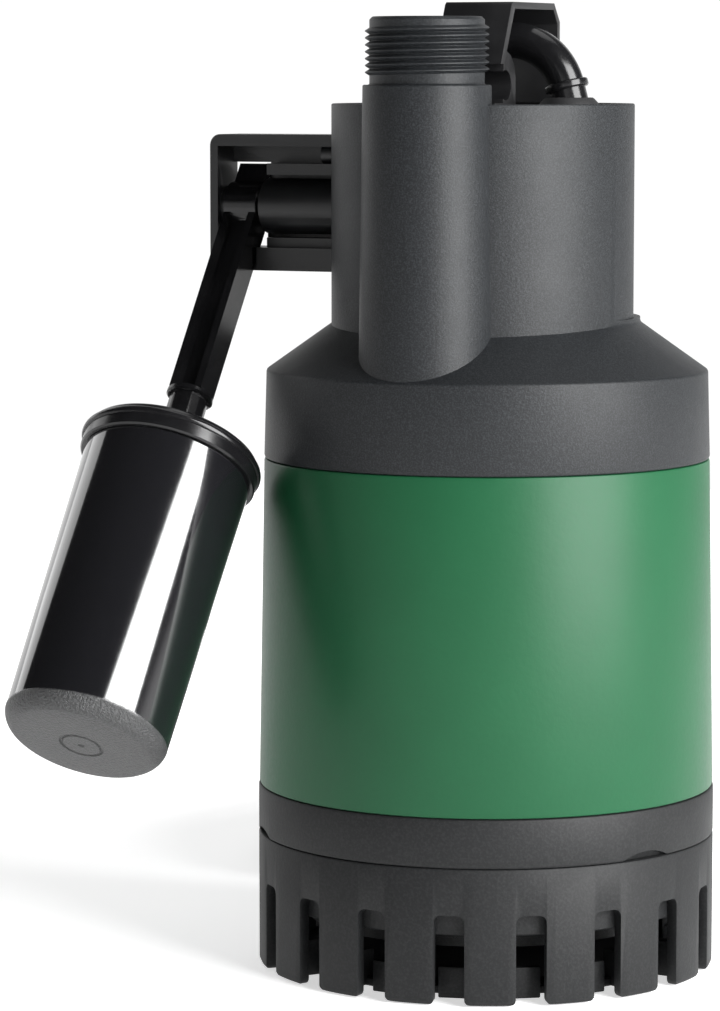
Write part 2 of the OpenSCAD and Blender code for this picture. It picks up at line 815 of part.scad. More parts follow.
module jacket() {
  foot = jacket_z;
  straight = spigot_h + 2;
  color([0.12, 0.40, 0.25])
    rotate_extrude()
      polygon([
        [jacket_r_foot - wall, foot], [jacket_r_foot - joint_chamfer, foot],
        [jacket_r_foot, foot + joint_chamfer], [jacket_r_top, cap_z - joint_chamfer],
        [jacket_r_top - joint_chamfer, cap_z], [jacket_r_top - wall, cap_z],
        [jacket_r_top - wall, cap_z - straight], [jacket_r_foot - wall, foot + straight]
      ]);
}

module seal_torus(r, z, section) {
  color([0.03, 0.03, 0.03])
    translate([0, 0, z])
      rotate_extrude() translate([r, 0]) circle(r = section, $fn = 24);
}

module jacket_top_seal() {
  seal_torus(spigot_r_top - seal_groove + seal_r + 0.02, cap_z - 4.6 + seal_w / 2, seal_r);
}

module jacket_bottom_seal() {
  seal_torus(spigot_r_foot - seal_groove + seal_r + 0.02, jacket_z + 4.6 - seal_w / 2, seal_r);
}

module intake_ring() {
  seat_r = strainer_r_in - snug;
  skirt_t = 2.5;
  web_z = ring_z - 6;
  web = 3;
  inner = spigot_r_foot - spigot_t;
  lens_r = (notch_w * notch_w / 4 + notch_h * notch_h) / (2 * notch_h);
  color([0.13, 0.14, 0.15])
    difference() {
      rotate_extrude()
        polygon([
          [body_r, ring_z + joint_chamfer], [body_r, jacket_z - joint_chamfer],
          [body_r - joint_chamfer, jacket_z], [spigot_r_foot, jacket_z],
          [spigot_r_foot, jacket_z + spigot_h], [inner, jacket_z + spigot_h],
          [inner, web_z + web], [casing_r, web_z + web], [casing_r, casing_z],
          [casing_r + 3, casing_z], [casing_r + 3, web_z], [seat_r - skirt_t, web_z],
          [seat_r - skirt_t, skirt_z], [seat_r, skirt_z], [seat_r, ring_z],
          [body_r - joint_chamfer, ring_z]
        ]);
      around([for (i = [0:2]) notch_angle + 120 * i])
        translate([body_r - 3, 0, ring_z + notch_h - lens_r])
          rotate([0, 90, 0]) cylinder(r = lens_r, h = 5);
      ring(spigot_r_foot + 1, spigot_r_foot - seal_groove, jacket_z + 4.6 - seal_w, seal_w);
      around(tie_angles)
        translate([tie_r, 0, 0]) cylinder(r = bolt_r + snug, h = jacket_z);
    }
}

module suction_plate() {
  color([0.12, 0.13, 0.14]) {
    ring(casing_r + 3, eye_r, casing_z - suction_t, suction_t);
    ring(casing_r - snug, casing_r - 3, casing_z - eps, suction_t - 0.5);
    ring(eye_r + 3, eye_r, casing_z - eps, suction_t - 0.2);
  }
}

module diffuser() {
  inner = can_r + snug;
  color([0.20, 0.21, 0.22]) {
    ring(inner + 1.2, inner, flange_z + 2, 17);
    for (i = [0:8])
      rotate([0, 0, 40 * i])
        translate([inner + 0.8, -1, flange_z + 4]) cube([casing_r - inner - 1.2, 2, 14]);
  }
}

module slot_shape() {
  r = slot_corner_r;
  c = bar_corner_r;
  polygon(concat(
    [[-slot_w / 2 - c, -1], [slot_w / 2 + c, -1], [slot_w / 2 + c, 0]],
    arc(slot_w / 2 + c, c, c, -90, -180, 4),
    arc(slot_w / 2 - r, slot_h - r, r, 0, 90, 5),
    arc(-slot_w / 2 + r, slot_h - r, r, 90, 180, 5),
    arc(-slot_w / 2 - c, c, c, 0, -90, 4)
  ));
}

module strainer() {
  plate_r = body_r - block_set - block_t / 2;
  pitch = 360 / slot_count;
  foot_round = 1.5;
  color([0.13, 0.14, 0.15]) {
    difference() {
      rotate_extrude()
        polygon([
          [strainer_r_in, 0], [body_r - foot_round, 0],
          [body_r - foot_round * 0.3, foot_round * 0.3], [body_r, foot_round],
          [body_r, ring_z - joint_chamfer], [body_r - joint_chamfer, ring_z],
          [strainer_r_in, ring_z]
        ]);
      for (i = [0:slot_count - 1])
        rotate([0, 0, slot_phase + pitch * i])
          translate([strainer_r_in - 2, 0, 0])
            rotate([90, 0, 90]) linear_extrude(strainer_wall + 4) slot_shape();
    }
    translate([0, 0, floor_gap]) cylinder(r = plate_r, h = floor_t);
    for (i = [0:slot_count - 1])
      rotate([0, 0, slot_phase + pitch * i])
        translate([body_r - block_set - block_t, -slot_w / 2, block_foot])
          cube([block_t, slot_w, block_top - block_foot]);
    // ribs that carry the floor plate from the bars
    for (i = [0:slot_count - 1])
      rotate([0, 0, slot_phase + pitch * (i + 0.5)])
        translate([plate_r - 4.5, -spoke_w / 2, floor_gap])
          cube([strainer_r_in + 0.3 - plate_r + 4.5, spoke_w, spoke_top - floor_gap]);
  }
}

// ---- Motor ----

module motor_can() {
  color([0.72, 0.73, 0.74]) ring(can_r, can_in, can_foot, can_top - can_foot);
}

module can_o_ring() {
  seal_torus(socket_r + 1.15, can_top - 6.5, 1.15);
}

module upper_bracket() {
  z = can_top;
  color([0.66, 0.67, 0.68])
    rotate_extrude()
      polygon([
        [0, z - snug], [can_in - snug, z - snug], [can_in - snug, z - lid_plate_t],
        [upper_bearing_r + 4, z - lid_plate_t], [upper_bearing_r + 4, upper_bearing_z],
        [upper_bearing_r + snug, upper_bearing_z], [upper_bearing_r + snug, z - lid_plate_t],
        [0, z - lid_plate_t]
      ]);
}

module lower_flange() {
  lip = can_in - snug;
  color([0.66, 0.67, 0.68])
    rotate_extrude()
      polygon([
        [seal_seat_r + snug, flange_z], [can_r, flange_z], [can_r, can_foot], [lip, can_foot],
        [lip, carrier_z], [lip - 4, carrier_z], [lip - 4, flange_z + flange_floor],
        [seal_seat_r + snug, flange_z + flange_floor]
      ]);
}

module bearing_carrier() {
  rb = lower_bearing_r + snug;
  rl = lip_seal_r + snug;
  zb = lower_bearing_z;
  color([0.66, 0.67, 0.68])
    rotate_extrude()
      polygon([
        [rl, carrier_z - 4], [rl + 3.5, carrier_z - 4], [rl + 3.5, carrier_z],
        [can_in - snug, carrier_z], [can_in - snug, zb], [rb + 4, zb],
        [rb + 4, zb + lower_bearing_h], [rb, zb + lower_bearing_h], [rb, zb], [rl, zb]
      ]);
}

module stator_core() {
  color([0.42, 0.43, 0.45])
    translate([0, 0, stack_z])
      linear_extrude(stack_top - stack_z)
        difference() {
          circle(r = stator_r);
          circle(r = bore_r);
          for (i = [0:stator_slots - 1])
            rotate(i * 360 / stator_slots)
              translate([bore_r + 1.2, -stator_slot_w / 2]) square([slot_r - bore_r, stator_slot_w]);
        }
}

module stator_winding() {
  bar_w = stator_slot_w - 2 * snug;
  r0 = bore_r + 1.3;
  r1 = slot_r + 1;
  c = 3;
  color([0.72, 0.40, 0.18]) {
    for (z = [stack_z - winding_h, stack_top + snug])
      translate([0, 0, z])
        rotate_extrude()
          polygon([
            [r0 + c, 0], [r1 - c, 0], [r1, c], [r1, winding_h - snug - c],
            [r1 - c, winding_h - snug], [r0 + c, winding_h - snug],
            [r0, winding_h - snug - c], [r0, c]
          ]);
    for (i = [0:stator_slots - 1])
      rotate([0, 0, i * 360 / stator_slots])
        translate([r0 + 1, -bar_w / 2, stack_z - 4])
          cube([slot_r - bore_r - 2, bar_w, stack_top - stack_z + 8]);
  }
}

module thermal_cutout() {
  color([0.85, 0.83, 0.76])
    translate([bore_r + 5, -8, stack_top + winding_h + 0.1]) cube([7, 16, 4]);
}

module rotor_core() {
  color([0.50, 0.51, 0.53])
    ring(bore_r - air_gap, core_shaft_r + shaft_gap, stack_z, stack_top - stack_z);
}

module rotor_end_rings() {
  color([0.78, 0.79, 0.80])
    for (z = [stack_z - end_ring_h - snug, stack_top + snug])
      ring(bore_r - air_gap - 1.5, bore_r - 9, z, end_ring_h);
}

module shaft() {
  foot = impeller_z - 3.5;
  color([0.75, 0.76, 0.78])
    rotate_extrude()
      polygon([
        [0, foot], [shaft_r - 1, foot], [shaft_r, foot + 1], [shaft_r, lower_bearing_z - 1],
        [core_shaft_r, lower_bearing_z - 0.5], [core_shaft_r, upper_bearing_z - 0.5],
        [shaft_r, upper_bearing_z], [shaft_r, can_top - lid_plate_t - 0.8],
        [0, can_top - lid_plate_t - 0.8]
      ]);
}

// A sealed ball bearing: two races with a shield set in on each face.
module bearing(r_out, r_in, z, h) {
  a = r_in + (r_out - r_in) * 0.3;
  b = r_out - (r_out - r_in) * 0.25;
  s = 0.5;
  color([0.70, 0.71, 0.73])
    translate([0, 0, z])
      rotate_extrude()
        polygon([
          [r_in, 0], [a, 0], [a, s], [b, s], [b, 0], [r_out, 0], [r_out, h], [b, h],
          [b, h - s], [a, h - s], [a, h], [r_in, h]
        ]);
}

module upper_bearing() {
  bearing(upper_bearing_r, shaft_r + shaft_gap, upper_bearing_z + 0.5, upper_bearing_h);
}

module lower_bearing() {
  bearing(lower_bearing_r, core_shaft_r + shaft_gap, lower_bearing_z + snug, lower_bearing_h - snug);
}

module seal_seat() {
  color([0.30, 0.30, 0.32])
    ring(seal_seat_r, shaft_r + run_gap, flange_z, flange_floor + 2);
}

module seal_ring() {
  z = flange_z + flange_floor + 2.3;
  color([0.55, 0.56, 0.58]) {
    ring(shaft_r + 4.5, shaft_r + shaft_gap, z, 4);
    ring(shaft_r + 3.2, shaft_r + shaft_gap, z + 4 - eps, 6);
  }
}

module lip_seal() {
  color([0.15, 0.08, 0.06])
    ring(lip_seal_r, shaft_r + 0.35, carrier_z - 4, lip_seal_h);
}

// ---- Impeller ----

module impeller() {
  bore = shaft_r + shaft_gap;
  hub = 11;
  hub_z = impeller_z + washer_t + nut_h - 3;
  color([0.22, 0.23, 0.24]) {
    ring(impeller_r, bore, impeller_z + vane_h, disc_t);
    ring(hub, bore, hub_z, impeller_z + vane_h - hub_z + eps);
    for (i = [0:vane_count - 1])
      rotate([0, 0, i * 360 / vane_count])
        translate([0, 0, impeller_z])
          linear_extrude(vane_h + eps)
            intersection() {
              difference() {
                translate([0, impeller_r * 0.62]) circle(r = impeller_r * 0.62);
                translate([0, impeller_r * 0.62]) circle(r = impeller_r * 0.62 - 2.6);
                circle(r = eye_r + 1);
              }
              circle(r = impeller_r - 1);
              square([impeller_r, impeller_r]);
            }
  }
}

module impeller_washer() {
  z = impeller_z + nut_h - 3;
  color([0.74, 0.75, 0.76]) ring(9.5, shaft_r + shaft_gap, z + snug, washer_t - 2 * snug);
}

module impeller_nut() {
  color([0.78, 0.70, 0.45])
    translate([0, 0, impeller_z - 3])
      difference() {
        cylinder(r = shaft_r + 4, h = nut_h, $fn = 6);
        translate([0, 0, -1]) cylinder(r = shaft_r + shaft_gap, h = nut_h + 2);
      }
}

module tie_bolts() {
  z = ring_z - 6;
  color([0.66, 0.67, 0.68])
    around(tie_angles)
      translate([tie_r, 0, 0]) {
        translate([0, 0, z - 0.4]) cylinder(r = bolt_r, h = tie_top - z);
        translate([0, 0, z - 4.2]) cylinder(r = 4, h = 4, $fn = 6);
      }
}

// ---- Inside the cap ----

module capacitor() {
  color([0.86, 0.86, 0.84])
    translate([-20, 18, can_top + 1]) {
      cylinder(r = 17.3, h = 60);
      for (s = [-1, 1]) translate([s * 5, 0, 60 - eps]) cylinder(r = 1.6, h = 6);
    }
}

module terminal_block() {
  color([0.80, 0.80, 0.78])
    difference() {
      translate([8, 8, can_top + 1]) cube([30, 14, 18]);
      for (i = [0:3])
        translate([12 + 7.3 * i, 15, can_top + 10]) cylinder(r = 2, h = 10);
    }
}

cap();
handle();
handle_screws();
cable_gland();
cable_boot();
cord_tube();
cord_coil();
coil_tie();
plug_body();
plug_pins();
float_bracket();
bracket_screws();
float_pin();
reed_switch();
float_arm();
arm_magnet();
float_lid();
float_body();
jacket();
jacket_top_seal();
jacket_bottom_seal();
intake_ring();
suction_plate();
diffuser();
strainer();
motor_can();
can_o_ring();
upper_bracket();
lower_flange();
bearing_carrier();
stator_core();
stator_winding();
thermal_cutout();
rotor_core();
rotor_end_rings();
shaft();
upper_bearing();
lower_bearing();
seal_seat();
seal_ring();
lip_seal();
impeller();
impeller_washer();
impeller_nut();
tie_bolts();
capacitor();
terminal_block();
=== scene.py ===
import math

import bpy
from mathutils import Matrix, Vector
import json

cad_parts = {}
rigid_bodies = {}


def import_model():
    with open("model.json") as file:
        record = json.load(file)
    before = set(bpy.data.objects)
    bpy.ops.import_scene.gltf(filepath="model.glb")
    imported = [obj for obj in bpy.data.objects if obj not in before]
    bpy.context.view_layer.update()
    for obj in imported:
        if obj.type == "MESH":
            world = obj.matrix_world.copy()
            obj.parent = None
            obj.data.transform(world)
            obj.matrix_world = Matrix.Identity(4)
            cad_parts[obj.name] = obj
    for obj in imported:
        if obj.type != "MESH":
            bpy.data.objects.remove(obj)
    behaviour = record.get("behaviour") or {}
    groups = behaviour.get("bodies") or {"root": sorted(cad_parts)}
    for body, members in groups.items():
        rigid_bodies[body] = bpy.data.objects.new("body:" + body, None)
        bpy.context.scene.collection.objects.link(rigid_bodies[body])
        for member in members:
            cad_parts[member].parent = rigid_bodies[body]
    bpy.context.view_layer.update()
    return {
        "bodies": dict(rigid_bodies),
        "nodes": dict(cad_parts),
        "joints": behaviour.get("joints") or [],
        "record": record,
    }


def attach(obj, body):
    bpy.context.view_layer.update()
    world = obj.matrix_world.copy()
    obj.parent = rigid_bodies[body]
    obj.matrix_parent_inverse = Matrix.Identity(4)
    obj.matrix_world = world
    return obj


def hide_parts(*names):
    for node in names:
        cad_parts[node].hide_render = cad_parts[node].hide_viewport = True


MM = 0.001

# Heights of the joints between the housings, from the floor up, and their radii, in millimetres.
RING_Z, JACKET_Z, CAP_Z, CONE_Z, CYL_Z, DECK_Z, RIM_Z = 47, 64, 179.3, 210.8, 226.8, 300, 303
BODY_R, JACKET_R_FOOT, JACKET_R_TOP, CAP_R_EDGE = 80.5, 80.2, 78.3, 77.5
CYL_R, CYL_Y = 52.8, -4.5
SPOUT_Y, SPOUT_TOP, THREAD_Z, OUTLET_TOP, NOSE_R = -53.7, 309.6, 313.0, 332.463, 19.476
PIN = Vector((-92.5, 0, 266.2))
ARM_TILT = math.radians(-36.5)
FLOAT_TURN = (ARM_TILT, 0, 0)
# Places along the float's own axis, from the pin down.
RAIL_END, LID_TOP, FLOAT_RIM, FLOAT_FOOT = -80.4, -102.9, -111.95, -219.9


# ---- Making pieces ----

def put_down():
    if bpy.context.object and bpy.context.object.mode != "OBJECT":
        bpy.ops.object.mode_set(mode="OBJECT")
    bpy.ops.object.select_all(action="DESELECT")


def take(piece):
    put_down()
    piece.select_set(True)
    bpy.context.view_layer.objects.active = piece


def named(piece, name):
    piece.name = name
    piece.data.name = name
    return piece


def outward(piece):
    take(piece)
    bpy.ops.object.mode_set(mode="EDIT")
    bpy.ops.mesh.select_all(action="SELECT")
    bpy.ops.mesh.remove_doubles(threshold=2e-6)
    bpy.ops.mesh.normals_make_consistent(inside=False)
    bpy.ops.object.mode_set(mode="OBJECT")


def thread_points(points, closed):
    """Draws a chain of edges through the points, from one corner of a small plane."""
    put_down()
    bpy.ops.mesh.primitive_plane_add(size=0.001, location=(0, 0, 0))
    piece = bpy.context.object
    bpy.ops.object.mode_set(mode="EDIT")
    bpy.ops.mesh.merge(type="CENTER")
    last = Vector(points[0])
    bpy.ops.transform.translate(value=last)
    for point in points[1:]:
        step = Vector(point) - last
        bpy.ops.mesh.extrude_region_move(TRANSFORM_OT_translate={"value": step})
        last = Vector(point)
    bpy.ops.mesh.select_all(action="SELECT")
    if closed:
        bpy.ops.mesh.edge_face_add()
    return piece


def turned(name, outline, x=0.0, y=0.0, steps=144):
    """Spins an outline of (radius, height) about an upright axis."""
    centre = Vector((x, y, 0)) * MM
    piece = thread_points([centre + Vector((r, 0, z)) * MM for r, z in outline], False)
    bpy.ops.mesh.spin(steps=steps, angle=math.tau, center=centre, axis=(0, 0, 1))
    bpy.ops.object.mode_set(mode="OBJECT")
    outward(piece)
    return named(piece, name)


def prism(name, outline, start, end, across="x"):
    """Pushes a closed outline along an axis: (y, z) along x, (x, z) along y, (x, y) along z."""
    def spot(a, b, c):
        return Vector({"x": (c, a, b), "y": (a, c, b), "z": (a, b, c)}[across]) * MM
    piece = thread_points([spot(a, b, start) for a, b in outline], True)
    bpy.ops.mesh.extrude_region_move(TRANSFORM_OT_translate={"value": spot(0, 0, end - start)})
    bpy.ops.object.mode_set(mode="OBJECT")
    outward(piece)
    return named(piece, name)


def block(name, low, high):
    put_down()
    low, high = Vector(low) * MM, Vector(high) * MM
    bpy.ops.mesh.primitive_cube_add(size=1, location=(low + high) / 2)
    piece = bpy.context.object
    piece.scale = high - low
    bpy.ops.object.transform_apply(location=True, rotation=True, scale=True)
    return named(piece, name)


def rod(name, start, end, radius, sides=48, radius_end=None):
    put_down()
    start, end = Vector(start) * MM, Vector(end) * MM
    run = end - start
    bpy.ops.mesh.primitive_cone_add(
        vertices=sides, radius1=radius * MM, radius2=(radius_end or radius) * MM,
        depth=run.length, location=(start + end) / 2,
        rotation=run.to_track_quat("Z", "Y").to_euler())
    bpy.ops.object.transform_apply(location=True, rotation=True, scale=True)
    return named(bpy.context.object, name)


def finish_with(piece, kind, **settings):
    take(piece)
    step = piece.modifiers.new(kind.lower(), kind)
    for key, value in settings.items():
        setattr(step, key, value)
    bpy.ops.object.modifier_apply(modifier=step.name)
    return piece


def carve(piece, tool, operation="DIFFERENCE"):
    finish_with(piece, "BOOLEAN", object=tool, operation=operation, solver="EXACT")
    bpy.data.objects.remove(tool)
    return piece


def weld(piece, *others):
    for other in others:
        carve(piece, other, "UNION")
    return piece


def join(piece, *others):
    take(piece)
    for other in others:
        other.select_set(True)
    bpy.ops.object.join()
    return piece


def copied(piece, name):
    twin = piece.copy()
    twin.data = piece.data.copy()
    bpy.context.collection.objects.link(twin)
    return named(twin, name)


def placed(piece, at=(0, 0, 0), tilt=(0, 0, 0)):
    take(piece)
    piece.location = Vector(at) * MM
    piece.rotation_euler = tilt
    bpy.ops.object.transform_apply(location=True, rotation=True, scale=True)
    return piece


def broken_edges(piece, width, segments=2, angle=32):
    """Breaks the sharp edges and smooths what is left."""
    if width:
        finish_with(piece, "BEVEL", width=width * MM, segments=segments, limit_method="ANGLE",
                    angle_limit=math.radians(angle), use_clamp_overlap=True, miter_outer="MITER_ARC")
    take(piece)
    bpy.ops.object.shade_smooth_by_angle(angle=math.radians(angle))
    return piece


def rounded(x, y, radius, start, end, steps=6):
    """Points on an arc about (x, y), from one angle to another in degrees."""
    turn = [math.radians(start + (end - start) * i / steps) for i in range(steps + 1)]
    return [(x + radius * math.cos(a), y + radius * math.sin(a)) for a in turn]


def show(piece, finish, slot, *nodes, body="pump"):
    """Gives a piece its finish, the body it rides on and the nodes it stands for."""
    piece.data.materials.clear()
    piece.data.materials.append(finish)
    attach(piece, body)
    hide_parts(*nodes)
    return piece


# ---- Camera and cable ----

# The camera stands to the right of the front, looks down a little and aims left of the shaft.
VIEW_TURN, VIEW_PITCH, VIEW_YAW = math.radians(22.5), math.radians(6), math.radians(1.7685)
CAMERA_AWAY, CAMERA_HEIGHT, CAMERA_LENS = 1.447, 0.3138, 146.813


def set_camera():
    up = Vector((0, 0, 1))
    side = Vector((math.cos(VIEW_TURN), math.sin(VIEW_TURN), 0))
    ahead = up.cross(side)
    place = up * CAMERA_HEIGHT - ahead * CAMERA_AWAY
    level = ahead * math.cos(VIEW_YAW) - side * math.sin(VIEW_YAW)
    look = level * math.cos(VIEW_PITCH) - up * math.sin(VIEW_PITCH)
    right = level.cross(up)
    frame = Matrix((right, right.cross(look), -look)).transposed().to_4x4()
    data = bpy.data.cameras.new("camera")
    data.sensor_width = 36
    data.lens = CAMERA_LENS
    data.clip_start = 0.01
    camera = bpy.data.objects.new("camera", data)
    camera.matrix_world = Matrix.Translation(place) @ frame
    bpy.context.collection.objects.link(camera)
    bpy.context.scene.camera = camera


CORD_R = 4.5
CORD_ROUTE = [
    (-17, 14, 325), (-26, 14, 325), (-35, 16, 323.5), (-43, 20.5, 319.5), (-49, 28, 313.5),
    (-53, 37, 305.5), (-56, 46, 294), (-57.5, 54, 280), (-58.5, 60, 264), (-59, 64, 247),
    (-59, 66.5, 229), (-59, 67.5, 205), (-59, 68, 180), (-59, 68, 150), (-59, 68, 120),
    (-59.5, 68.5, 95), (-60.5, 69.5, 72), (-63.5, 72, 50), (-70, 77.5, 31), (-79.5, 85.5, 16),
    (-90, 94, 7), (-101, 101, 4.5)]
COIL_X, COIL_Y, COIL_H = -73, 182, 54
COLUMNS = (81, 72, 63, 54)
COIL_START, COIL_TURNS, COIL_LEAD_IN, STEPS_A_TURN = 243, 22, 4.9, 24
PLUG_ANGLE, PLUG_RING, PLUG_BACK, PLUG_TILT = 112.5, 62, 30, 10
PLUG_R, PLUG_SHOULDER, PLUG_LEN = 18.5, 43, 58
PLUG_Z = COIL_H + PLUG_R * math.cos(math.radians(PLUG_TILT)) \
    - PLUG_SHOULDER * math.sin(math.radians(PLUG_TILT)) + 0.3


def ease(value):
    value = min(max(value, 0.0), 1.0)
    return value * value * (3 - 2 * value)


def coil_lane(turn):
    """Radius and height of a whole turn, counted from the outside of the bottom layer."""
    layer, place = divmod(turn, 4)
    return COLUMNS[place if layer % 2 == 0 else 3 - place], CORD_R + 2 * CORD_R * layer


def coil_points():
    """The coil's turns, which start a little outside the first lane."""
    points = []
    for i in range(COIL_TURNS * STEPS_A_TURN + 1):
        turn, part = divmod(i / STEPS_A_TURN, 1)
        radius, height = coil_lane(int(turn))
        next_radius, next_height = coil_lane(int(turn) + 1)
        # first up a layer, then over to the next lane, so that crossing turns keep clear
        height += (next_height - height) * ease((part - 0.70) / 0.15)
        radius += (next_radius - radius) * ease((part - 0.85) / 0.15)
        radius += COIL_LEAD_IN * (1 - ease(i / STEPS_A_TURN / 0.2))
        angle = math.radians(COIL_START - 360 * i / STEPS_A_TURN)
        points.append((COIL_X + radius * math.cos(angle), COIL_Y + radius * math.sin(angle), height))
    return points


def plug_frame():
    """The plug's own frame: its cable end is at the origin and its pins are along X."""
    angle = math.radians(PLUG_ANGLE)
    side = Vector((math.cos(angle), math.sin(angle), 0))
    ahead = Vector((side.y, -side.x, 0))
    foot = Vector((COIL_X, COIL_Y, PLUG_Z)) + PLUG_RING * side - PLUG_BACK * ahead
    turn = Matrix.Rotation(math.atan2(ahead.y, ahead.x), 4, "Z")
    return Matrix.Translation(foot * MM) @ turn @ Matrix.Rotation(math.radians(-PLUG_TILT), 4, "Y")


def cable_points():
    """The chosen route, the coil, and a smooth run from the coil into the plug."""
    points = [Vector(p) * MM for p in CORD_ROUTE + coil_points()]
    frame = plug_frame()
    plug_end = frame @ Vector((0.004, 0, 0))
    before = frame @ Vector((-0.012, 0, 0))
    start = points[-1]
    heading = (points[-1] - points[-2]).normalized()
    arrive = (plug_end - before).normalized()
    reach = (before - start).length * 0.36
    a = start + heading * reach
    b = before - arrive * reach
    for i in range(1, 8):
        t = i / 8
        points.append((1 - t) ** 3 * start + 3 * (1 - t) ** 2 * t * a
                      + 3 * (1 - t) * t * t * b + t ** 3 * before)
    return points + [before, plug_end]


def make_cable():
    data = bpy.data.curves.new("mains_cable", "CURVE")
    data.dimensions = "3D"
    data.bevel_depth = CORD_R * MM
    data.bevel_resolution = 4
    data.resolution_u = 3
    data.use_fill_caps = True
    points = cable_points()
    spline = data.splines.new("BEZIER")
    spline.bezier_points.add(len(points) - 1)
    for knot, point in zip(spline.bezier_points, points):
        knot.co = point
        knot.handle_left_type = knot.handle_right_type = "AUTO"
    cable = bpy.data.objects.new("mains_cable", data)
    bpy.context.collection.objects.link(cable)
    length = sum((b - a).length for a, b in zip(points, points[1:]))
    return cable, length


# ---- Finishes ----

class Wire:
    """A value in a material's node tree. Sums on it add Math nodes."""

    def __init__(self, tree, value):
        self.tree, self.value = tree, value

    def maths(self, operation, *values):
        return add_node(self.tree, "ShaderNodeMath", {"operation": operation},
                        **{f"i{n}": v for n, v in enumerate(values)})

    def __add__(self, other):
        return self.maths("ADD", self, other)

    def __sub__(self, other):
        return self.maths("SUBTRACT", self, other)

    def __rsub__(self, other):
        return self.maths("SUBTRACT", other, self)

    def __mul__(self, other):
        return self.maths("MULTIPLY", self, other)

    __radd__ = __add__
    __rmul__ = __mul__

    def blend_in(self, low, high):
        """0 below low and 1 above high, with a smooth step between."""
        return add_node(self.tree, "ShaderNodeMapRange",
                        {"interpolation_type": "SMOOTHSTEP", "clamp": True},
                        i0=self, i1=low, i2=high, i3=0.0, i4=1.0)

    def axes(self):
        """The x, y and z of a place."""
        apart = self.tree.nodes.new("ShaderNodeSeparateXYZ")
        self.tree.links.new(self.value, apart.inputs[0])
        return [Wire(self.tree, output) for output in apart.outputs]


def fill(socket, tree, value):
    """Links a wire to a socket, or sets a plain value on it."""
    if isinstance(value, Wire):
        tree.links.new(value.value, socket)
    else:
        socket.default_value = value


def add_node(tree, kind, settings=None, output=0, **sockets):
    """Adds a node. A socket goes by its number, as i0, or by its name."""
    node = tree.nodes.new(kind)
    for key, value in (settings or {}).items():
        setattr(node, key, value)
    for key, value in sockets.items():
        numbered = key[0] == "i" and key[1:].isdigit()
        fill(node.inputs[int(key[1:]) if numbered else key.replace("_", " ")], tree, value)
    return Wire(tree, node.outputs[output])


def rgba(colour):
    return colour if isinstance(colour, Wire) else (*colour, 1.0)


class Finish:
    """One material: a Principled shader and what feeds it."""

    def __init__(self, name, colour, roughness, **fixed):
        self.material = bpy.data.materials.new(name)
        self.material.use_nodes = True
        self.tree = self.material.node_tree
        self.tree.nodes.clear()
        out = self.tree.nodes.new("ShaderNodeOutputMaterial")
        self.shader = self.tree.nodes.new("ShaderNodeBsdfPrincipled")
        self.tree.links.new(self.shader.outputs[0], out.inputs[0])
        self.feed("Base Color", rgba(colour))
        self.feed("Roughness", roughness)
        for key, value in fixed.items():
            self.feed(key.replace("_", " "), value)
        self.material.diffuse_color = rgba(colour)

    def feed(self, socket, value):
        fill(self.shader.inputs[socket], self.tree, value)

    def node(self, kind, settings=None, output=0, **sockets):
        return add_node(self.tree, kind, settings, output, **sockets)

    def spot(self, at=(0, 0, 0), turn=(0, 0, 0), stretch=(1, 1, 1)):
        """A place on the object, seen from a frame that stands at a point and is turned."""
        place = self.node("ShaderNodeTexCoord", output=3)
        if at == (0, 0, 0) and turn == (0, 0, 0) and stretch == (1, 1, 1):
            return place
        return self.node("ShaderNodeMapping", {"vector_type": "TEXTURE"}, i0=place,
                         i1=[v * MM for v in at], i2=turn, i3=stretch)

    def grain(self, size, spot=None, detail=2.0, roughness=0.5):
        """Noise between 0 and 1 whose features are this many millimetres across."""
        return self.node("ShaderNodeTexNoise", i0=spot or self.spot(), i2=1000 / size,
                         i3=detail, i4=roughness)

    def pebbles(self, size):
        """Soft cells this many millimetres across."""
        return self.node("ShaderNodeTexVoronoi", {"feature": "SMOOTH_F1"}, i0=self.spot(),
                         i2=1000 / size, i6=0.6)

    def mix(self, share, low, high):
        """One colour where the share is 0 and the other where it is 1."""
        return self.node("ShaderNodeMix", {"data_type": "RGBA"}, output=2, i0=share,
                         i6=rgba(low), i7=rgba(high))

    def bump(self, *layers):
        """Each layer is a height and its depth in millimetres."""
        normal = None
        for height, depth in layers:
            extra = {"Normal": normal} if normal is not None else {}
            normal = self.node("ShaderNodeBump", Strength=1.0, Distance=depth * MM, Height=height,
                               **extra)
        self.feed("Normal", normal)


def grained_charcoal(name, dark, light, roughness, size, depth):
    """A moulding with a spark-eroded grain, its size and depth in millimetres."""
    finish = Finish(name, dark, roughness, Specular_IOR_Level=0.25)
    sparks = finish.grain(size, detail=3.0, roughness=0.6)
    clouds = finish.grain(14)
    finish.feed("Base Color", finish.mix(sparks.blend_in(0.42, 0.66), dark, light))
    finish.feed("Roughness", clouds * 0.10 + (roughness - 0.05))
    finish.bump((sparks, depth), (finish.pebbles(size * 2.2), depth * 0.5))
    return finish.material


def jacket_green():
    finish = Finish("jacket_green", (0.007, 0.062, 0.025), 0.4, Specular_IOR_Level=0.2)
    mottle = finish.grain(1.6, detail=3.0)
    clouds = finish.grain(38, detail=3.0)
    finish.feed("Base Color", finish.mix(clouds * 0.7 + mottle * 0.3, (0.0055, 0.052, 0.020),
                                         (0.009, 0.072, 0.029)))
    finish.feed("Roughness", mottle * 0.10 + 0.36)
    finish.bump((mottle, 0.035), (finish.grain(9), 0.05))
    return finish.material


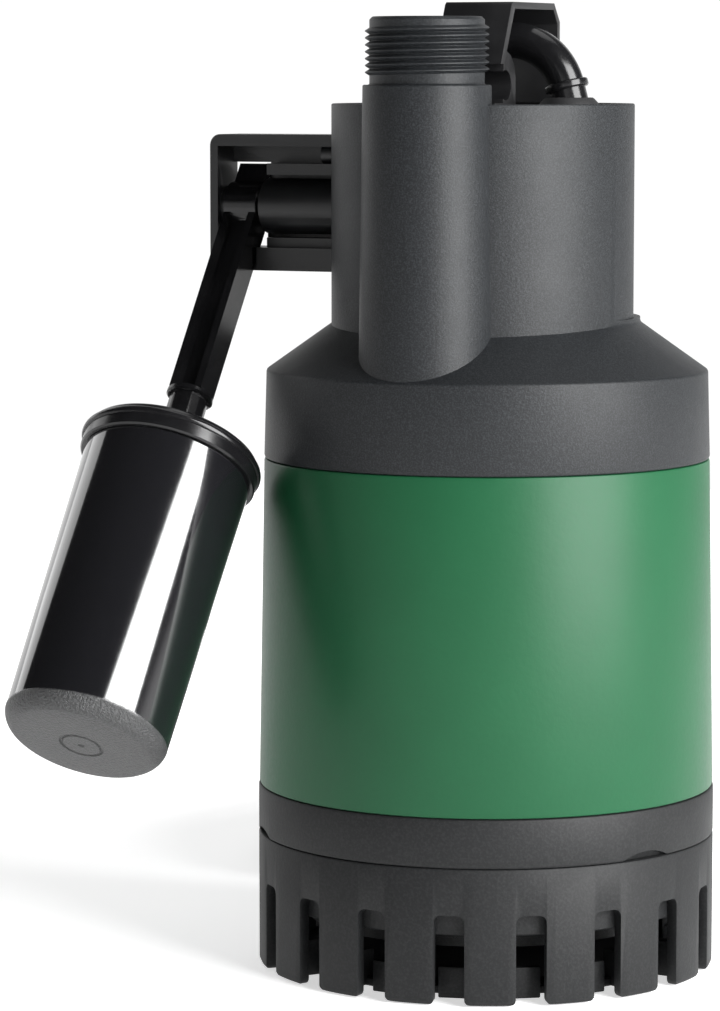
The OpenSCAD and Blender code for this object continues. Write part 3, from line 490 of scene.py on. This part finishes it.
def smooth_black(name, colour, roughness, ripple=0.02):
    finish = Finish(name, colour, roughness, Specular_IOR_Level=0.4)
    clouds = finish.grain(11, detail=3.0)
    specks = finish.grain(0.8)
    lighter = tuple(c * 1.5 + 0.001 for c in colour)
    finish.feed("Base Color", finish.mix(clouds.blend_in(0.3, 0.8), colour, lighter))
    finish.feed("Roughness", clouds * 0.10 + specks * 0.06 + (roughness - 0.08))
    finish.bump((clouds, ripple), (specks, ripple * 0.3))
    return finish.material


def float_gloss():
    """Gloss sides with faint scuffs, and a coarse stipple on the closed end."""
    finish = Finish("float_gloss", (0.006, 0.006, 0.007), 0.2, Specular_IOR_Level=0.8,
                    Coat_Roughness=0.05)
    own = finish.spot(PIN, FLOAT_TURN)
    long_scuffs = finish.grain(0.35, finish.spot(PIN, FLOAT_TURN, (1, 1, 9)), detail=4.0)
    cross_scuffs = finish.grain(0.3, finish.spot(PIN, (ARM_TILT + 0.4, 0.5, 0), (1, 7, 1)))
    scuffs = long_scuffs.blend_in(0.66, 0.8) * 0.5 + cross_scuffs.blend_in(0.7, 0.84) * 0.4
    stipple = finish.grain(0.8, own, detail=3.0, roughness=0.6).blend_in(0.3, 0.7)
    height = own.axes()[2] * 1000
    closed_end = 1 - height.blend_in(FLOAT_FOOT + 5.5, FLOAT_FOOT + 7)
    base = finish.mix(scuffs, (0.006, 0.006, 0.007), (0.045, 0.047, 0.05))
    finish.feed("Base Color", finish.mix(closed_end, base, finish.mix(
        stipple, (0.006, 0.0062, 0.0066), (0.026, 0.027, 0.028))))
    clouds = finish.grain(8, own)
    finish.feed("Coat Weight", 0.8 - closed_end * 0.8)
    finish.feed("Roughness", closed_end * 0.36 + scuffs * 0.15 + clouds * 0.06 + 0.07)
    finish.bump((stipple * closed_end, 0.3), (clouds, 0.02))
    return finish.material


def cable_rubber():
    finish = Finish("cable_rubber", (0.010, 0.010, 0.011), 0.5)
    dust = finish.grain(6, detail=3.0)
    skin = finish.grain(0.6)
    finish.feed("Base Color", finish.mix(dust.blend_in(0.45, 0.8), (0.009, 0.009, 0.010),
                                         (0.022, 0.022, 0.023)))
    finish.feed("Roughness", dust * 0.15 + 0.42)
    finish.bump((skin, 0.03))
    return finish.material


def metal(name, colour, roughness, along=(1, 1, 18), darker=0.75):
    """Drawn or machined metal, with marks that run along one direction."""
    finish = Finish(name, colour, roughness, Metallic=1.0)
    marks = finish.grain(0.4, finish.spot(stretch=along), detail=3.0)
    finish.feed("Base Color", finish.mix(marks, tuple(c * darker for c in colour), colour))
    finish.feed("Roughness", marks * 0.18 + (roughness - 0.06))
    finish.bump((marks, 0.01))
    return finish.material


def banded(name, colour, gap_colour, pitch, metallic, roughness):
    """Thin level bands, as a stack of laminations or layers of wire has."""
    finish = Finish(name, colour, roughness, Metallic=metallic)
    height = finish.spot().axes()[2]
    bands = height.maths("SINE", height * (math.tau * 1000 / pitch)) * 0.5 + 0.5
    finish.feed("Base Color", finish.mix(bands, gap_colour, colour))
    finish.bump((bands, 0.15), (finish.grain(1.5), 0.05))
    return finish.material


def dull(name, colour, roughness):
    finish = Finish(name, colour, roughness)
    clouds = finish.grain(7, detail=3.0)
    finish.feed("Base Color", finish.mix(clouds, tuple(c * 0.8 for c in colour), colour))
    finish.feed("Roughness", clouds * 0.14 + (roughness - 0.07))
    finish.bump((finish.grain(0.9), 0.04))
    return finish.material


# ---- Housings ----

def make_cap(finish):
    """The cone, the offset tower and the outlet tube, with its bore and its thread."""
    spout_foot, spout_head, bore, duct_z = 23.5, 21.8, 16, 205.3
    cap = turned("cap_housing", [
        (0, CAP_Z), (JACKET_R_TOP - 0.9, CAP_Z), (JACKET_R_TOP - 0.25, CAP_Z + 0.35),
        (JACKET_R_TOP, CAP_Z + 1),
        *rounded(CAP_R_EDGE - 1.4, CONE_Z - 1.4, 1.4, 2, 62),
        *rounded(CYL_R + 2.6, CYL_Z + 1.2, 1.8, 240, 180, 4), (CYL_R + 0.8, CYL_Z + 2), (0, CYL_Z + 2)])
    tower = turned("cap_tower", [
        (0, CAP_Z + 4), (CYL_R, CAP_Z + 4),
        *rounded(CYL_R - 0.6, RIM_Z - 0.6, 0.6, 0, 90, 3),
        *rounded(CYL_R - 2.6, RIM_Z - 0.4, 0.4, 90, 180, 3),
        (CYL_R - 3, DECK_Z + 0.8), (CYL_R - 3.8, DECK_Z), (0, DECK_Z)], y=CYL_Y)
    spout = turned("cap_spout", [
        (0, CAP_Z + 5), (spout_foot, CAP_Z + 5),
        *rounded(spout_head - 0.6, SPOUT_TOP - 0.6, 0.6, 0, 90, 3),
        (19.9, SPOUT_TOP), (NOSE_R, SPOUT_TOP + 0.4), (NOSE_R, OUTLET_TOP - 1.1),
        (18.6, OUTLET_TOP - 0.15), (18.2, OUTLET_TOP), (bore + 0.6, OUTLET_TOP),
        (bore, OUTLET_TOP - 0.6), (15.6, OUTLET_TOP - 2), (0, OUTLET_TOP - 2)], y=SPOUT_Y, steps=128)
    weld(cap, tower, spout)
    carve(cap, rod("duct", (0, SPOUT_Y, duct_z), (0, SPOUT_Y, OUTLET_TOP + 12), bore, sides=96))
    broken_edges(cap, 0)
    return show(join(cap, make_thread()), finish, "cap_plastic", "cap")


def make_thread():
    """A tooth's outline wound up the nose, with its two ends let into the nose at the back."""
    pitch, land, crest, root, turns, steps = 2.309, 0.35, 20.955, NOSE_R - 0.056, 7, 120
    gap, run_out = 0.02, 0.15
    low = THREAD_Z - pitch / 2
    outline = [(root, low + gap), (crest, low + (pitch - land) / 2),
               (crest, low + (pitch + land) / 2), (root, low + pitch - gap)]
    thread = thread_points([Vector((r, 0, z)) * MM for r, z in outline], True)
    bpy.ops.object.mode_set(mode="OBJECT")
    finish_with(thread, "SCREW", axis="Z", screw_offset=pitch * MM, iterations=turns, steps=steps,
                render_steps=steps, angle=math.tau, use_merge_vertices=False)
    outward(thread)
    for point in thread.data.vertices:
        radius = math.hypot(point.co.x, point.co.y) / MM
        part = math.atan2(point.co.y, point.co.x) % math.tau / math.tau
        turn = math.floor((point.co.z / MM - low) / pitch - part) + part
        share = min(ease(turn / run_out), ease((turns - turn) / run_out))
        reach = (root + (radius - root) * share) / radius
        point.co.x, point.co.y = point.co.x * reach, point.co.y * reach
    placed(thread, (0, SPOUT_Y, 0), (0, 0, math.pi / 2))
    return broken_edges(named(thread, "cap_thread"), 0, angle=25)


def make_jacket(finish):
    in_foot, in_top, seal_h = JACKET_R_FOOT - 3.5, JACKET_R_TOP - 3.5, 8.5
    jacket = turned("jacket_tube", [
        (in_foot, JACKET_Z), (JACKET_R_FOOT - 0.9, JACKET_Z), (JACKET_R_FOOT - 0.25, JACKET_Z + 0.3),
        (JACKET_R_FOOT, JACKET_Z + 1), (JACKET_R_TOP, CAP_Z - 1),
        (JACKET_R_TOP - 0.25, CAP_Z - 0.3), (JACKET_R_TOP - 0.9, CAP_Z), (in_top, CAP_Z),
        (in_top, CAP_Z - seal_h), (in_foot, JACKET_Z + seal_h), (in_foot, JACKET_Z)])
    return show(broken_edges(jacket, 0), finish, "green_plastic", "jacket")


def make_intake_ring(finish):
    """The band under the jacket, with the casing's cup inside it and three pry notches in its foot."""
    casing_z, web_z, rim_z, casing_r = 20, 41, 23.5, 60
    ring = turned("intake_ring_band", [
        (76.4, RING_Z), (BODY_R - 0.9, RING_Z), (BODY_R - 0.25, RING_Z + 0.3), (BODY_R, RING_Z + 1),
        (BODY_R, JACKET_Z - 1), (BODY_R - 0.25, JACKET_Z - 0.3), (BODY_R - 0.9, JACKET_Z),
        (76.6, JACKET_Z), (76.6, JACKET_Z + 6.5), (73.6, JACKET_Z + 6.5), (73.6, web_z + 3),
        (casing_r, web_z + 3), (casing_r, casing_z), (casing_r + 3, casing_z), (casing_r + 3, web_z),
        (73.9, web_z), (73.9, rim_z + 0.5), (74.4, rim_z), (75.9, rim_z), (76.4, rim_z + 0.5),
        (76.4, RING_Z)])
    width, height, first = 22, 2.7, -24.3
    radius = (width * width / 4 + height * height) / (2 * height)
    for turn in (first, first + 120, first + 240):
        out = Vector((math.cos(math.radians(turn)), math.sin(math.radians(turn)), 0))
        up = Vector((0, 0, RING_Z + height - radius))
        carve(ring, rod("pry_notch", out * 77.5 + up, out * 84 + up, radius, sides=160))
    return show(broken_edges(ring, 0.35), finish, "base_plastic", "intake_ring")


def make_strainer(finish):
    """The slotted wall, its floor, a block behind each slot and a spoke behind each bar."""
    wall, count, phase, width, top = 76.5, 18, 3.7, 10.6, 31
    strainer = turned("strainer_wall", [
        (wall, 0), (BODY_R - 1.5, 0), (BODY_R - 0.45, 0.45), (BODY_R, 1.5), (BODY_R, RING_Z - 0.9),
        (BODY_R - 0.3, RING_Z - 0.25), (BODY_R - 0.9, RING_Z), (wall, RING_Z), (wall, 0)])
    half, bar_r, top_r = width / 2, 2.2, 2.6
    outline = [(-half - bar_r, -1), (half + bar_r, -1), (half + bar_r, 0),
               *rounded(half + bar_r, bar_r, bar_r, -90, -180, 5),
               *rounded(half - top_r, top - top_r, top_r, 0, 90, 5),
               *rounded(-half + top_r, top - top_r, top_r, 90, 180, 5),
               *rounded(-half - bar_r, bar_r, bar_r, 0, -90, 5)]
    slots = []
    for i in range(count):
        slot = copied(slots[0], "slot") if slots else prism("slot", outline, wall - 2, wall + 6)
        slots.append(placed(slot, tilt=(0, 0, math.radians(phase if i == 0 else 360 / count * i))))
    carve(strainer, join(*slots))
    broken_edges(strainer, 0.45)
    floor = turned("strainer_floor", [
        (0, 1.5), (68, 1.5), (68.5, 2), (68.5, 4), (68, 4.5), (62, 4.5), (60.5, 5.3), (58, 5.3),
        (56.5, 4.5), (0, 4.5)])
    broken_edges(floor, 0)
    pieces = []
    for low, high, turn in (((66.5, -half, 0.5), (70.5, half, 11.3), phase),
                            ((64, -2.5, 1.5), (76.8, 2.5, 14), phase + 180 / count)):
        first = broken_edges(placed(block("block", low, high), tilt=(0, 0, math.radians(turn))), 0.5)
        pieces.append(first)
        pieces += [placed(copied(first, "block"), tilt=(0, 0, math.tau / count * i))
                   for i in range(1, count)]
    return show(join(strainer, floor, *pieces), finish, "base_plastic", "strainer")


# ---- Handle, gland and boot ----

def make_handle(finish):
    """The strap, with a cable clip in its front leg and a screwed foot at each end."""
    y, back, top = -8.6, 36.4, DECK_Z + 38
    handle = prism("handle_strap", [
        (y + 0.8, top), (back - 5.5, top), (back, top - 6.5), (back, DECK_Z), (back - 13, DECK_Z),
        (back - 13, DECK_Z + 3.2), (back - 2.3, DECK_Z + 3.2), (back - 2.3, top - 7.3),
        (back - 6.2, top - 2.3), (y + 2.6, top - 2.3), (y - 4.6, top - 17), (y - 1, top - 18.4),
        (y + 2.4, top - 22), (y + 3.4, top - 26), (y + 3.4, DECK_Z), (y - 15.5, DECK_Z),
        (y - 15.5, DECK_Z + 3.2), (y - 8, DECK_Z + 3.2), (y - 7.6, top - 21.4),
        (y - 10.1, top - 21.4), (y - 0.4, top - 0.9)], -12.5, 12.5)
    clip_r = 5.2
    clip_z = DECK_Z + 3.2 + clip_r + 0.9
    carve(handle, rod("clip_hole", (-20, y - 5.8, clip_z), (20, y - 5.8, clip_z), clip_r))
    for place in (y - 11.6, back - 7.5):
        carve(handle, rod("screw_hole", (0, place, DECK_Z - 5), (0, place, DECK_Z + 8), 1.9))
        carve(handle, rod("screw_seat", (0, place, DECK_Z + 1.4), (0, place, DECK_Z + 3.3), 1.9,
                          radius_end=3.4))
    return show(broken_edges(handle, 0.5, 3), finish, "handle_plastic", "handle")


BOOT_X, BOOT_Y, BOOT_Z, BEND_R, BOOT_R = 2.8, 14, DECK_Z + 3.1, 22, 6.4
BOOT_LEN, RIB_START, RIB_END, RIB_PITCH, RIB_GAP = 19.8, 4.2, 17.6, 3.2, 1.2
LEAN = math.radians(15)
GLAND_X = 25


def hose(name, stations, sides=32):
    """A round moulding along a line of (point, radius) stations."""
    put_down()
    bpy.ops.curve.primitive_bezier_curve_add(location=(0, 0, 0))
    piece = bpy.context.object
    data = piece.data
    data.splines.clear()
    line = data.splines.new("POLY")
    line.points.add(len(stations) - 1)
    for knot, (point, radius) in zip(line.points, stations):
        knot.co = (*(Vector(point) * MM), 1)
        knot.radius = radius
    data.dimensions = "3D"
    data.bevel_depth = MM
    data.bevel_resolution = sides // 4 - 1
    data.use_fill_caps = True
    take(piece)
    bpy.ops.object.convert(target="MESH")
    piece = bpy.context.object
    outward(piece)
    return named(piece, name)


def make_boot(finish):
    """The elbow, which leans at its foot, with a collar there and grooves round its level end."""
    out = Vector((math.cos(LEAN), 0, math.sin(LEAN)))
    up = Vector((-math.sin(LEAN), 0, math.cos(LEAN)))
    centre = Vector((BOOT_X, BOOT_Y, BOOT_Z))
    foot = centre + out * BEND_R
    stations = [(foot - up * s, BOOT_R) for s in (8, 6, 4, 2)]
    for i in range(29):
        turn = LEAN + (math.pi / 2 - LEAN) * i / 28
        stations.append((centre + Vector((math.cos(turn), 0, math.sin(turn))) * BEND_R, BOOT_R))
    for i in range(1, 100):
        along = i * 0.2
        radius = BOOT_R - 1.2 * along / BOOT_LEN
        ring = (along - RIB_START) % RIB_PITCH
        if RIB_START < along < RIB_END and ring < RIB_GAP:
            radius -= 0.55 * math.sin(ring / RIB_GAP * math.pi) ** 0.6
        stations.append((centre + Vector((-along, 0, BEND_R)), radius))
    stations[-1] = (stations[-1][0], stations[-1][1] - 0.4)
    boot = broken_edges(hose("boot_elbow", stations), 0, angle=45)
    collar = turned("boot_collar", [
        (BOOT_R - 0.5, -1.2), (BOOT_R + 0.8, -1.2), *rounded(BOOT_R + 0.7, -0.5, 0.6, -60, 0, 3),
        *rounded(BOOT_R + 0.7, 0.9, 0.6, 0, 60, 3), (BOOT_R + 0.6, 1.6), (BOOT_R - 0.5, 1.6),
        (BOOT_R - 0.5, -1.2)], steps=64)
    placed(broken_edges(collar, 0), foot, (0, -LEAN, 0))
    return show(join(boot, collar), finish, "gloss_black", "cable_boot")


def make_gland(finish):
    bore, foot, under_deck, grips, grip_ring = 4.8, DECK_Z - 9.5, DECK_Z - 3.6, 12, 13.9
    gland = turned("gland_collar", [
        (bore, foot), (10, foot), (10.5, foot + 0.5), (10.5, under_deck), (8, under_deck),
        (8, DECK_Z), (12.6, DECK_Z), (13, DECK_Z + 0.4), (12.7, DECK_Z + 1.2), (12.1, DECK_Z + 1.7),
        (10.6, DECK_Z + 2.4), (10.2, DECK_Z + 3.1), (8.8, DECK_Z + 4.6), (8.2, DECK_Z + 5),
        (6.1, DECK_Z + 5), (bore, DECK_Z + 3.6), (bore, foot)], GLAND_X, BOOT_Y, steps=72)
    for i in range(grips):
        turn = math.tau * i / grips
        spot = (GLAND_X + grip_ring * math.cos(turn), BOOT_Y + grip_ring * math.sin(turn))
        carve(gland, rod("grip", (*spot, DECK_Z - 0.5), (*spot, DECK_Z + 2), 1.7, sides=20))
    return show(broken_edges(gland, 0.25), finish, "seal_rubber", "cable_gland")


# ---- Float and its bracket ----

def make_bracket(finish):
    """The C-shaped frame with its window, the reed switch's tube, and the seat that stops the arm."""
    end_out, end_in, tube_end, wall_x = -103.8, -100.8, -86.0, -42.8
    low, high, front, back = 243.4, 291.8, -9, 7.3
    pin_z, screw_z, tube_foot = PIN.z, 284.8, -46.8
    bracket = prism("bracket_frame", [
        (wall_x, low), (wall_x, high), *rounded(end_out + 4, high - 4, 4, 90, 180, 8),
        *rounded(end_out + 1.5, low + 1.5, 1.5, 180, 270, 4)], front, back, "y")
    carve(bracket, block("open_front", (end_in, front - 5, low + 8.2), (-30, back - 3, high - 4.2)))
    carve(bracket, block("window_foot", (end_in, 0, low + 8.2), (tube_end - 1.3, back + 5, pin_z)))
    carve(bracket, block("window", (end_in, 0, pin_z - 9.8), (tube_end, back + 5, pin_z + 15.5)))
    tube = rod("switch_tube", (tube_end + 1.6, 0, pin_z), (tube_foot, 0, pin_z), 9.9, sides=96)
    weld(tube, rod("tube_cheek", (tube_end, 0, pin_z), (tube_end + 3, 0, pin_z), 7, sides=72))
    ribs = [block("rib", (tube_end + 2.5, -4.5, z), (-35, 6.3, z + 4))
            for z in (pin_z + 11.2, pin_z - 15.2)]
    boss = rod("screw_boss", (tube_foot - 16, 0, screw_z), (tube_foot, 0, screw_z), 3.5)
    cheek = rod("cheek", (end_in - 0.5, 0, pin_z), (end_in + 1.8, 0, pin_z), 7)
    weld(bracket, tube, *ribs, boss, cheek)
    seat = block("arm_seat", (-7, -30, -80), (7, 5.9, -12))
    carve(bracket, placed(seat, PIN, FLOAT_TURN))
    carve(bracket, rod("tower", (0, CYL_Y, 200), (0, CYL_Y, 320), CYL_R + 0.05, sides=288))
    carve(bracket, rod("pin_hole", (-110, 0, pin_z), (tube_end + 6, 0, pin_z), 3.1))
    return show(broken_edges(bracket, 0.7, 3), finish, "bracket_plastic", "float_bracket")


def make_arm(finish):
    """Two rails and a web between the pin's hub and the stop collar, and the magnet's head above."""
    arm = rod("arm_hub", (-6.2, 0, 0), (6.2, 0, 0), 8.6, sides=72)
    rails = [block("rail", (side - 1.35, -5.5, RAIL_END), (side + 1.35, 5.5, 0))
             for side in (-4.85, 4.85)]
    web = block("web", (-5.2, -1.8, RAIL_END), (5.2, 1.8, 0))
    head = block("magnet_head", (-6.1, -4.75, 0), (6.1, 4.75, 15))
    collar = turned("stop_collar", [
        (0, RAIL_END - 2.2), (7.7, RAIL_END - 2.2), (8.3, RAIL_END - 1.7), (8.3, RAIL_END - 0.5),
        (7.7, RAIL_END), (0, RAIL_END)], steps=72)
    neck = rod("neck", (0, 0, LID_TOP - 8.7), (0, 0, RAIL_END - 1.1), 6.8, sides=12)
    weld(arm, *rails, web, head, collar, neck)
    carve(arm, rod("pin_bore", (-9, 0, 0), (9, 0, 0), 3.05))
    carve(arm, rod("magnet_bore", (-4.6, 0, 10), (9, 0, 10), 3.1, sides=36))
    broken_edges(arm, 0.45)
    return show(placed(arm, PIN, FLOAT_TURN), finish, "gloss_black", "float_arm", body="float")


def make_lid(finish):
    top = LID_TOP
    lid = turned("float_cover", [
        (6.9, top - 8.9), (6.9, top - 0.7), (7.5, top), (10.5, top), (11.2, top - 0.35),
        (26.3, top - 0.35), (27.0, top), *rounded(29.2, top - 1.6, 1.6, 90, 20, 5),
        *rounded(31.0, top - 3.2, 1.2, 80, 0, 5), (32.2, top - 3.7), (31.9, top - 4.3),
        (31.3, top - 4.5), (31.3, top - 8.4), (30.8, top - 9), (27.5, top - 9), (27.2, top - 14),
        (25.2, top - 14), (25.5, top - 3), (9, top - 3), (9, top - 11.5), (6.9, top - 11.5),
        (6.9, top - 8.9)], steps=128)
    return show(placed(broken_edges(lid, 0), PIN, FLOAT_TURN), finish, "gloss_black", "float_lid",
                body="float")


def make_float(finish):
    rim, foot = FLOAT_RIM, FLOAT_FOOT
    body = turned("float_cup", [
        (27.6, rim), (29.3, rim), (29.6, rim - 0.3), (29.45, rim - 12),
        *rounded(21.3, foot + 7, 7, 0, -68, 12), (18.5, foot + 0.18), (15, foot + 0.02),
        (7.8, foot), (7.4, foot + 0.5), (6.8, foot + 0.5), (6.4, foot), (1.3, foot),
        (0.8, foot + 0.4), (0, foot + 0.4), (0, foot + 2), (20, foot + 2),
        (26.3, foot + 8), (27.6, rim)])
    return show(placed(broken_edges(body, 0), PIN, FLOAT_TURN), finish, "gloss_black", "float_body",
                body="float")


# ---- Plug and coil tie ----

def make_plug(finish):
    """The grip, modelled upright and then laid on the coil."""
    grips, grip_ring = 16, 19.6
    plug = turned("plug_grip", [
        (0, 0), (5, 0), (6, 0.6), (6.3, 3.0), (5.5, 3.4), (5.5, 4.8), (6.5, 5.2), (6.7, 7.4),
        (5.8, 7.8), (5.8, 9.2), (6.9, 9.6), (7.1, 11.8), (6.2, 12.2), (6.2, 13.6), (7.2, 14.0),
        (7.5, 18), (10, 23), (14, 34), (15.5, 38), (17.5, 41), (PLUG_R, PLUG_SHOULDER),
        (PLUG_R, PLUG_LEN - 1.5),
        (PLUG_R - 0.4, PLUG_LEN - 0.4), (PLUG_R - 1.5, PLUG_LEN), (0, PLUG_LEN)], steps=96)
    for i in range(grips):
        turn = math.tau * (i + 0.5) / grips
        x, y = grip_ring * math.cos(turn), grip_ring * math.sin(turn)
        carve(plug, rod("grip", (x, y, PLUG_SHOULDER + 2), (x, y, PLUG_LEN - 3), 1.9, sides=16))
    for side in (-9.5, 9.5):
        carve(plug, rod("pin_hole", (0, side, PLUG_LEN - 12), (0, side, PLUG_LEN + 4), 2.45,
                        sides=32))
    broken_edges(plug, 0.3)
    take(plug)
    plug.matrix_world = plug_frame() @ Matrix.Rotation(math.pi / 2, 4, "Y")
    bpy.ops.object.transform_apply(location=True, rotation=True, scale=True)
    return show(plug, finish, "cable_rubber", "plug_body")


def make_tie(finish):
    """A strap, open at the floor, over one side of the coil."""
    inner_w, inner_h, thick, width = 36.8, COIL_H + 0.4, 1.5, 8
    half, corner, corner_in, middle_r = inner_w / 2, 4, 2.6, 67.5
    outer = [(-half - thick, 0), (-half - thick, inner_h + thick - corner),
             *rounded(-half - thick + corner, inner_h + thick - corner, corner, 180, 90),
             *rounded(half + thick - corner, inner_h + thick - corner, corner, 90, 0),
             (half + thick, 0), (half, 0)]
    inner = [*rounded(half - corner_in, inner_h - corner_in, corner_in, 0, 90),
             *rounded(-half + corner_in, inner_h - corner_in, corner_in, 90, 180), (-half, 0)]
    tie = prism("coil_strap", [(x + middle_r, z) for x, z in outer + inner],
                -width / 2, width / 2, "y")
    broken_edges(tie, 0.3)
    placed(tie, (COIL_X, COIL_Y, 0), (0, 0, math.radians(22.5)))
    return show(tie, finish, "seal_rubber", "coil_tie")


# ---- Room ----

FLOOR_SIZE, FLOOR_GAP, SKY_DARK, AIM_Z = 3.2, 0.0004, 0.02, 0.2


def area_light(name, at, width, height, power):
    """A rectangular lamp, in metres and watts, that points at the pump."""
    data = bpy.data.lights.new(name, "AREA")
    data.shape, data.size, data.size_y, data.energy = "RECTANGLE", width, height, power
    lamp = bpy.data.objects.new(name, data)
    lamp.location = at
    lamp.rotation_euler = (Vector((0, 0, AIM_Z)) - lamp.location).to_track_quat("-Z", "Y").to_euler()
    bpy.context.collection.objects.link(lamp)


def set_room():
    """A floor that glows white by painted light, less near the pump, and a sky that is white behind the
    pump and along the horizon.
    """
    put_down()
    bpy.ops.mesh.primitive_plane_add(size=FLOOR_SIZE, location=(0, 0, -FLOOR_GAP))
    floor = named(bpy.context.object, "floor")
    # Painted light: the floor glows by its own emission, on top of the lamps' light. The glow is dimmer
    # near the pump (0.6 out to 0.4 m) and full white from 1.3 m away.
    glowing_floor = Finish("glowing_floor", (0.9, 0.9, 0.9), 0.8, Emission_Strength=1.0)
    away = glowing_floor.node("ShaderNodeVectorMath", {"operation": "LENGTH"}, output=1, i0=glowing_floor.spot())
    glowing_floor.feed("Emission Color", glowing_floor.mix(away.blend_in(0.4, 1.3), (0.6, 0.6, 0.6), (1, 1, 1)))
    floor.data.materials.append(glowing_floor.material)
    world = bpy.data.worlds.new("studio")
    world.use_nodes = True
    tree = world.node_tree
    x, y, z = add_node(tree, "ShaderNodeTexCoord").axes()
    behind = (y * math.cos(VIEW_TURN) - x * math.sin(VIEW_TURN)).blend_in(0.5, 1.0)
    horizon = 1 - z.blend_in(0.12, 0.3)
    colour, strength = tree.nodes["Background"].inputs[:2]
    fill(colour, tree, (1, 1, 1, 1))
    fill(strength, tree, behind.maths("MAXIMUM", behind, horizon) + SKY_DARK)
    bpy.context.scene.world = world
    area_light("key", (1.43, -0.42, 0.62), width=1.2, height=1.6, power=88)
    area_light("edge", (-1.25, 0.30, 0.75), width=0.5, height=0.9, power=2)
    area_light("overhead", (0.1, 0.3, 1.7), width=0.9, height=0.9, power=4)
    bpy.context.scene.view_settings.view_transform = "Standard"


# ---- The whole pump ----

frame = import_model()
set_camera()

rubber = cable_rubber()
soft_seal = dull("seal_rubber", (0.012, 0.012, 0.013), 0.6)
cable, cable_length = make_cable()
show(cable, rubber, "cable_rubber", "cord_tube", "cord_coil")
plug = make_plug(rubber)
tie = make_tie(soft_seal)

make_cap(grained_charcoal("cap_charcoal", (0.006, 0.0068, 0.0078), (0.017, 0.019, 0.021),
                          roughness=0.50, size=0.5, depth=0.07))
make_jacket(jacket_green())
matte = grained_charcoal("base_charcoal", (0.0065, 0.007, 0.0075), (0.012, 0.0125, 0.013),
                         roughness=0.56, size=0.9, depth=0.06)
make_intake_ring(matte)
make_strainer(matte)
make_handle(smooth_black("handle_black", (0.005, 0.005, 0.0055), 0.42))
gloss = smooth_black("gloss_black", (0.005, 0.005, 0.0055), 0.2, ripple=0.012)
make_boot(gloss)
make_gland(soft_seal)
make_bracket(smooth_black("bracket_black", (0.004, 0.0042, 0.0046), 0.40))
make_arm(gloss)
make_lid(gloss)
make_float(float_gloss())

steel = metal("stainless", (0.62, 0.63, 0.64), 0.3)
zinc = metal("zinc_plate", (0.55, 0.56, 0.57), 0.35, (1, 1, 1))
cast = metal("cast_aluminium", (0.60, 0.61, 0.62), 0.5, (1, 1, 1))
stack = banded("laminations", (0.30, 0.31, 0.33), (0.12, 0.12, 0.13), 0.5, 0.8, 0.45)
wire = banded("copper_wire", (0.72, 0.33, 0.13), (0.30, 0.12, 0.04), 0.8, 0.7, 0.35)
brass = metal("brass", (0.78, 0.60, 0.30), 0.3)
pale = dull("pale_plastic", (0.72, 0.71, 0.66), 0.5)
inner = dull("inner_plastic", (0.045, 0.047, 0.050), 0.5)
ceramic = dull("seal_ceramic", (0.25, 0.25, 0.27), 0.2)
for finish, nodes in (
        (steel, "float_pin motor_can shaft upper_bearing lower_bearing seal_ring impeller_washer"),
        (zinc, "handle_screws bracket_screws arm_magnet tie_bolts"),
        (cast, "upper_bracket lower_flange bearing_carrier rotor_end_rings"),
        (stack, "stator_core rotor_core"), (wire, "stator_winding"),
        (brass, "plug_pins impeller_nut"),
        (pale, "reed_switch thermal_cutout capacitor terminal_block"),
        (inner, "diffuser impeller"), (matte, "suction_plate"), (ceramic, "seal_seat"),
        (soft_seal, "jacket_top_seal jacket_bottom_seal can_o_ring lip_seal")):
    for node in nodes.split():
        for holder in frame["nodes"][node].material_slots:
            holder.material = finish

set_room()
put_down()
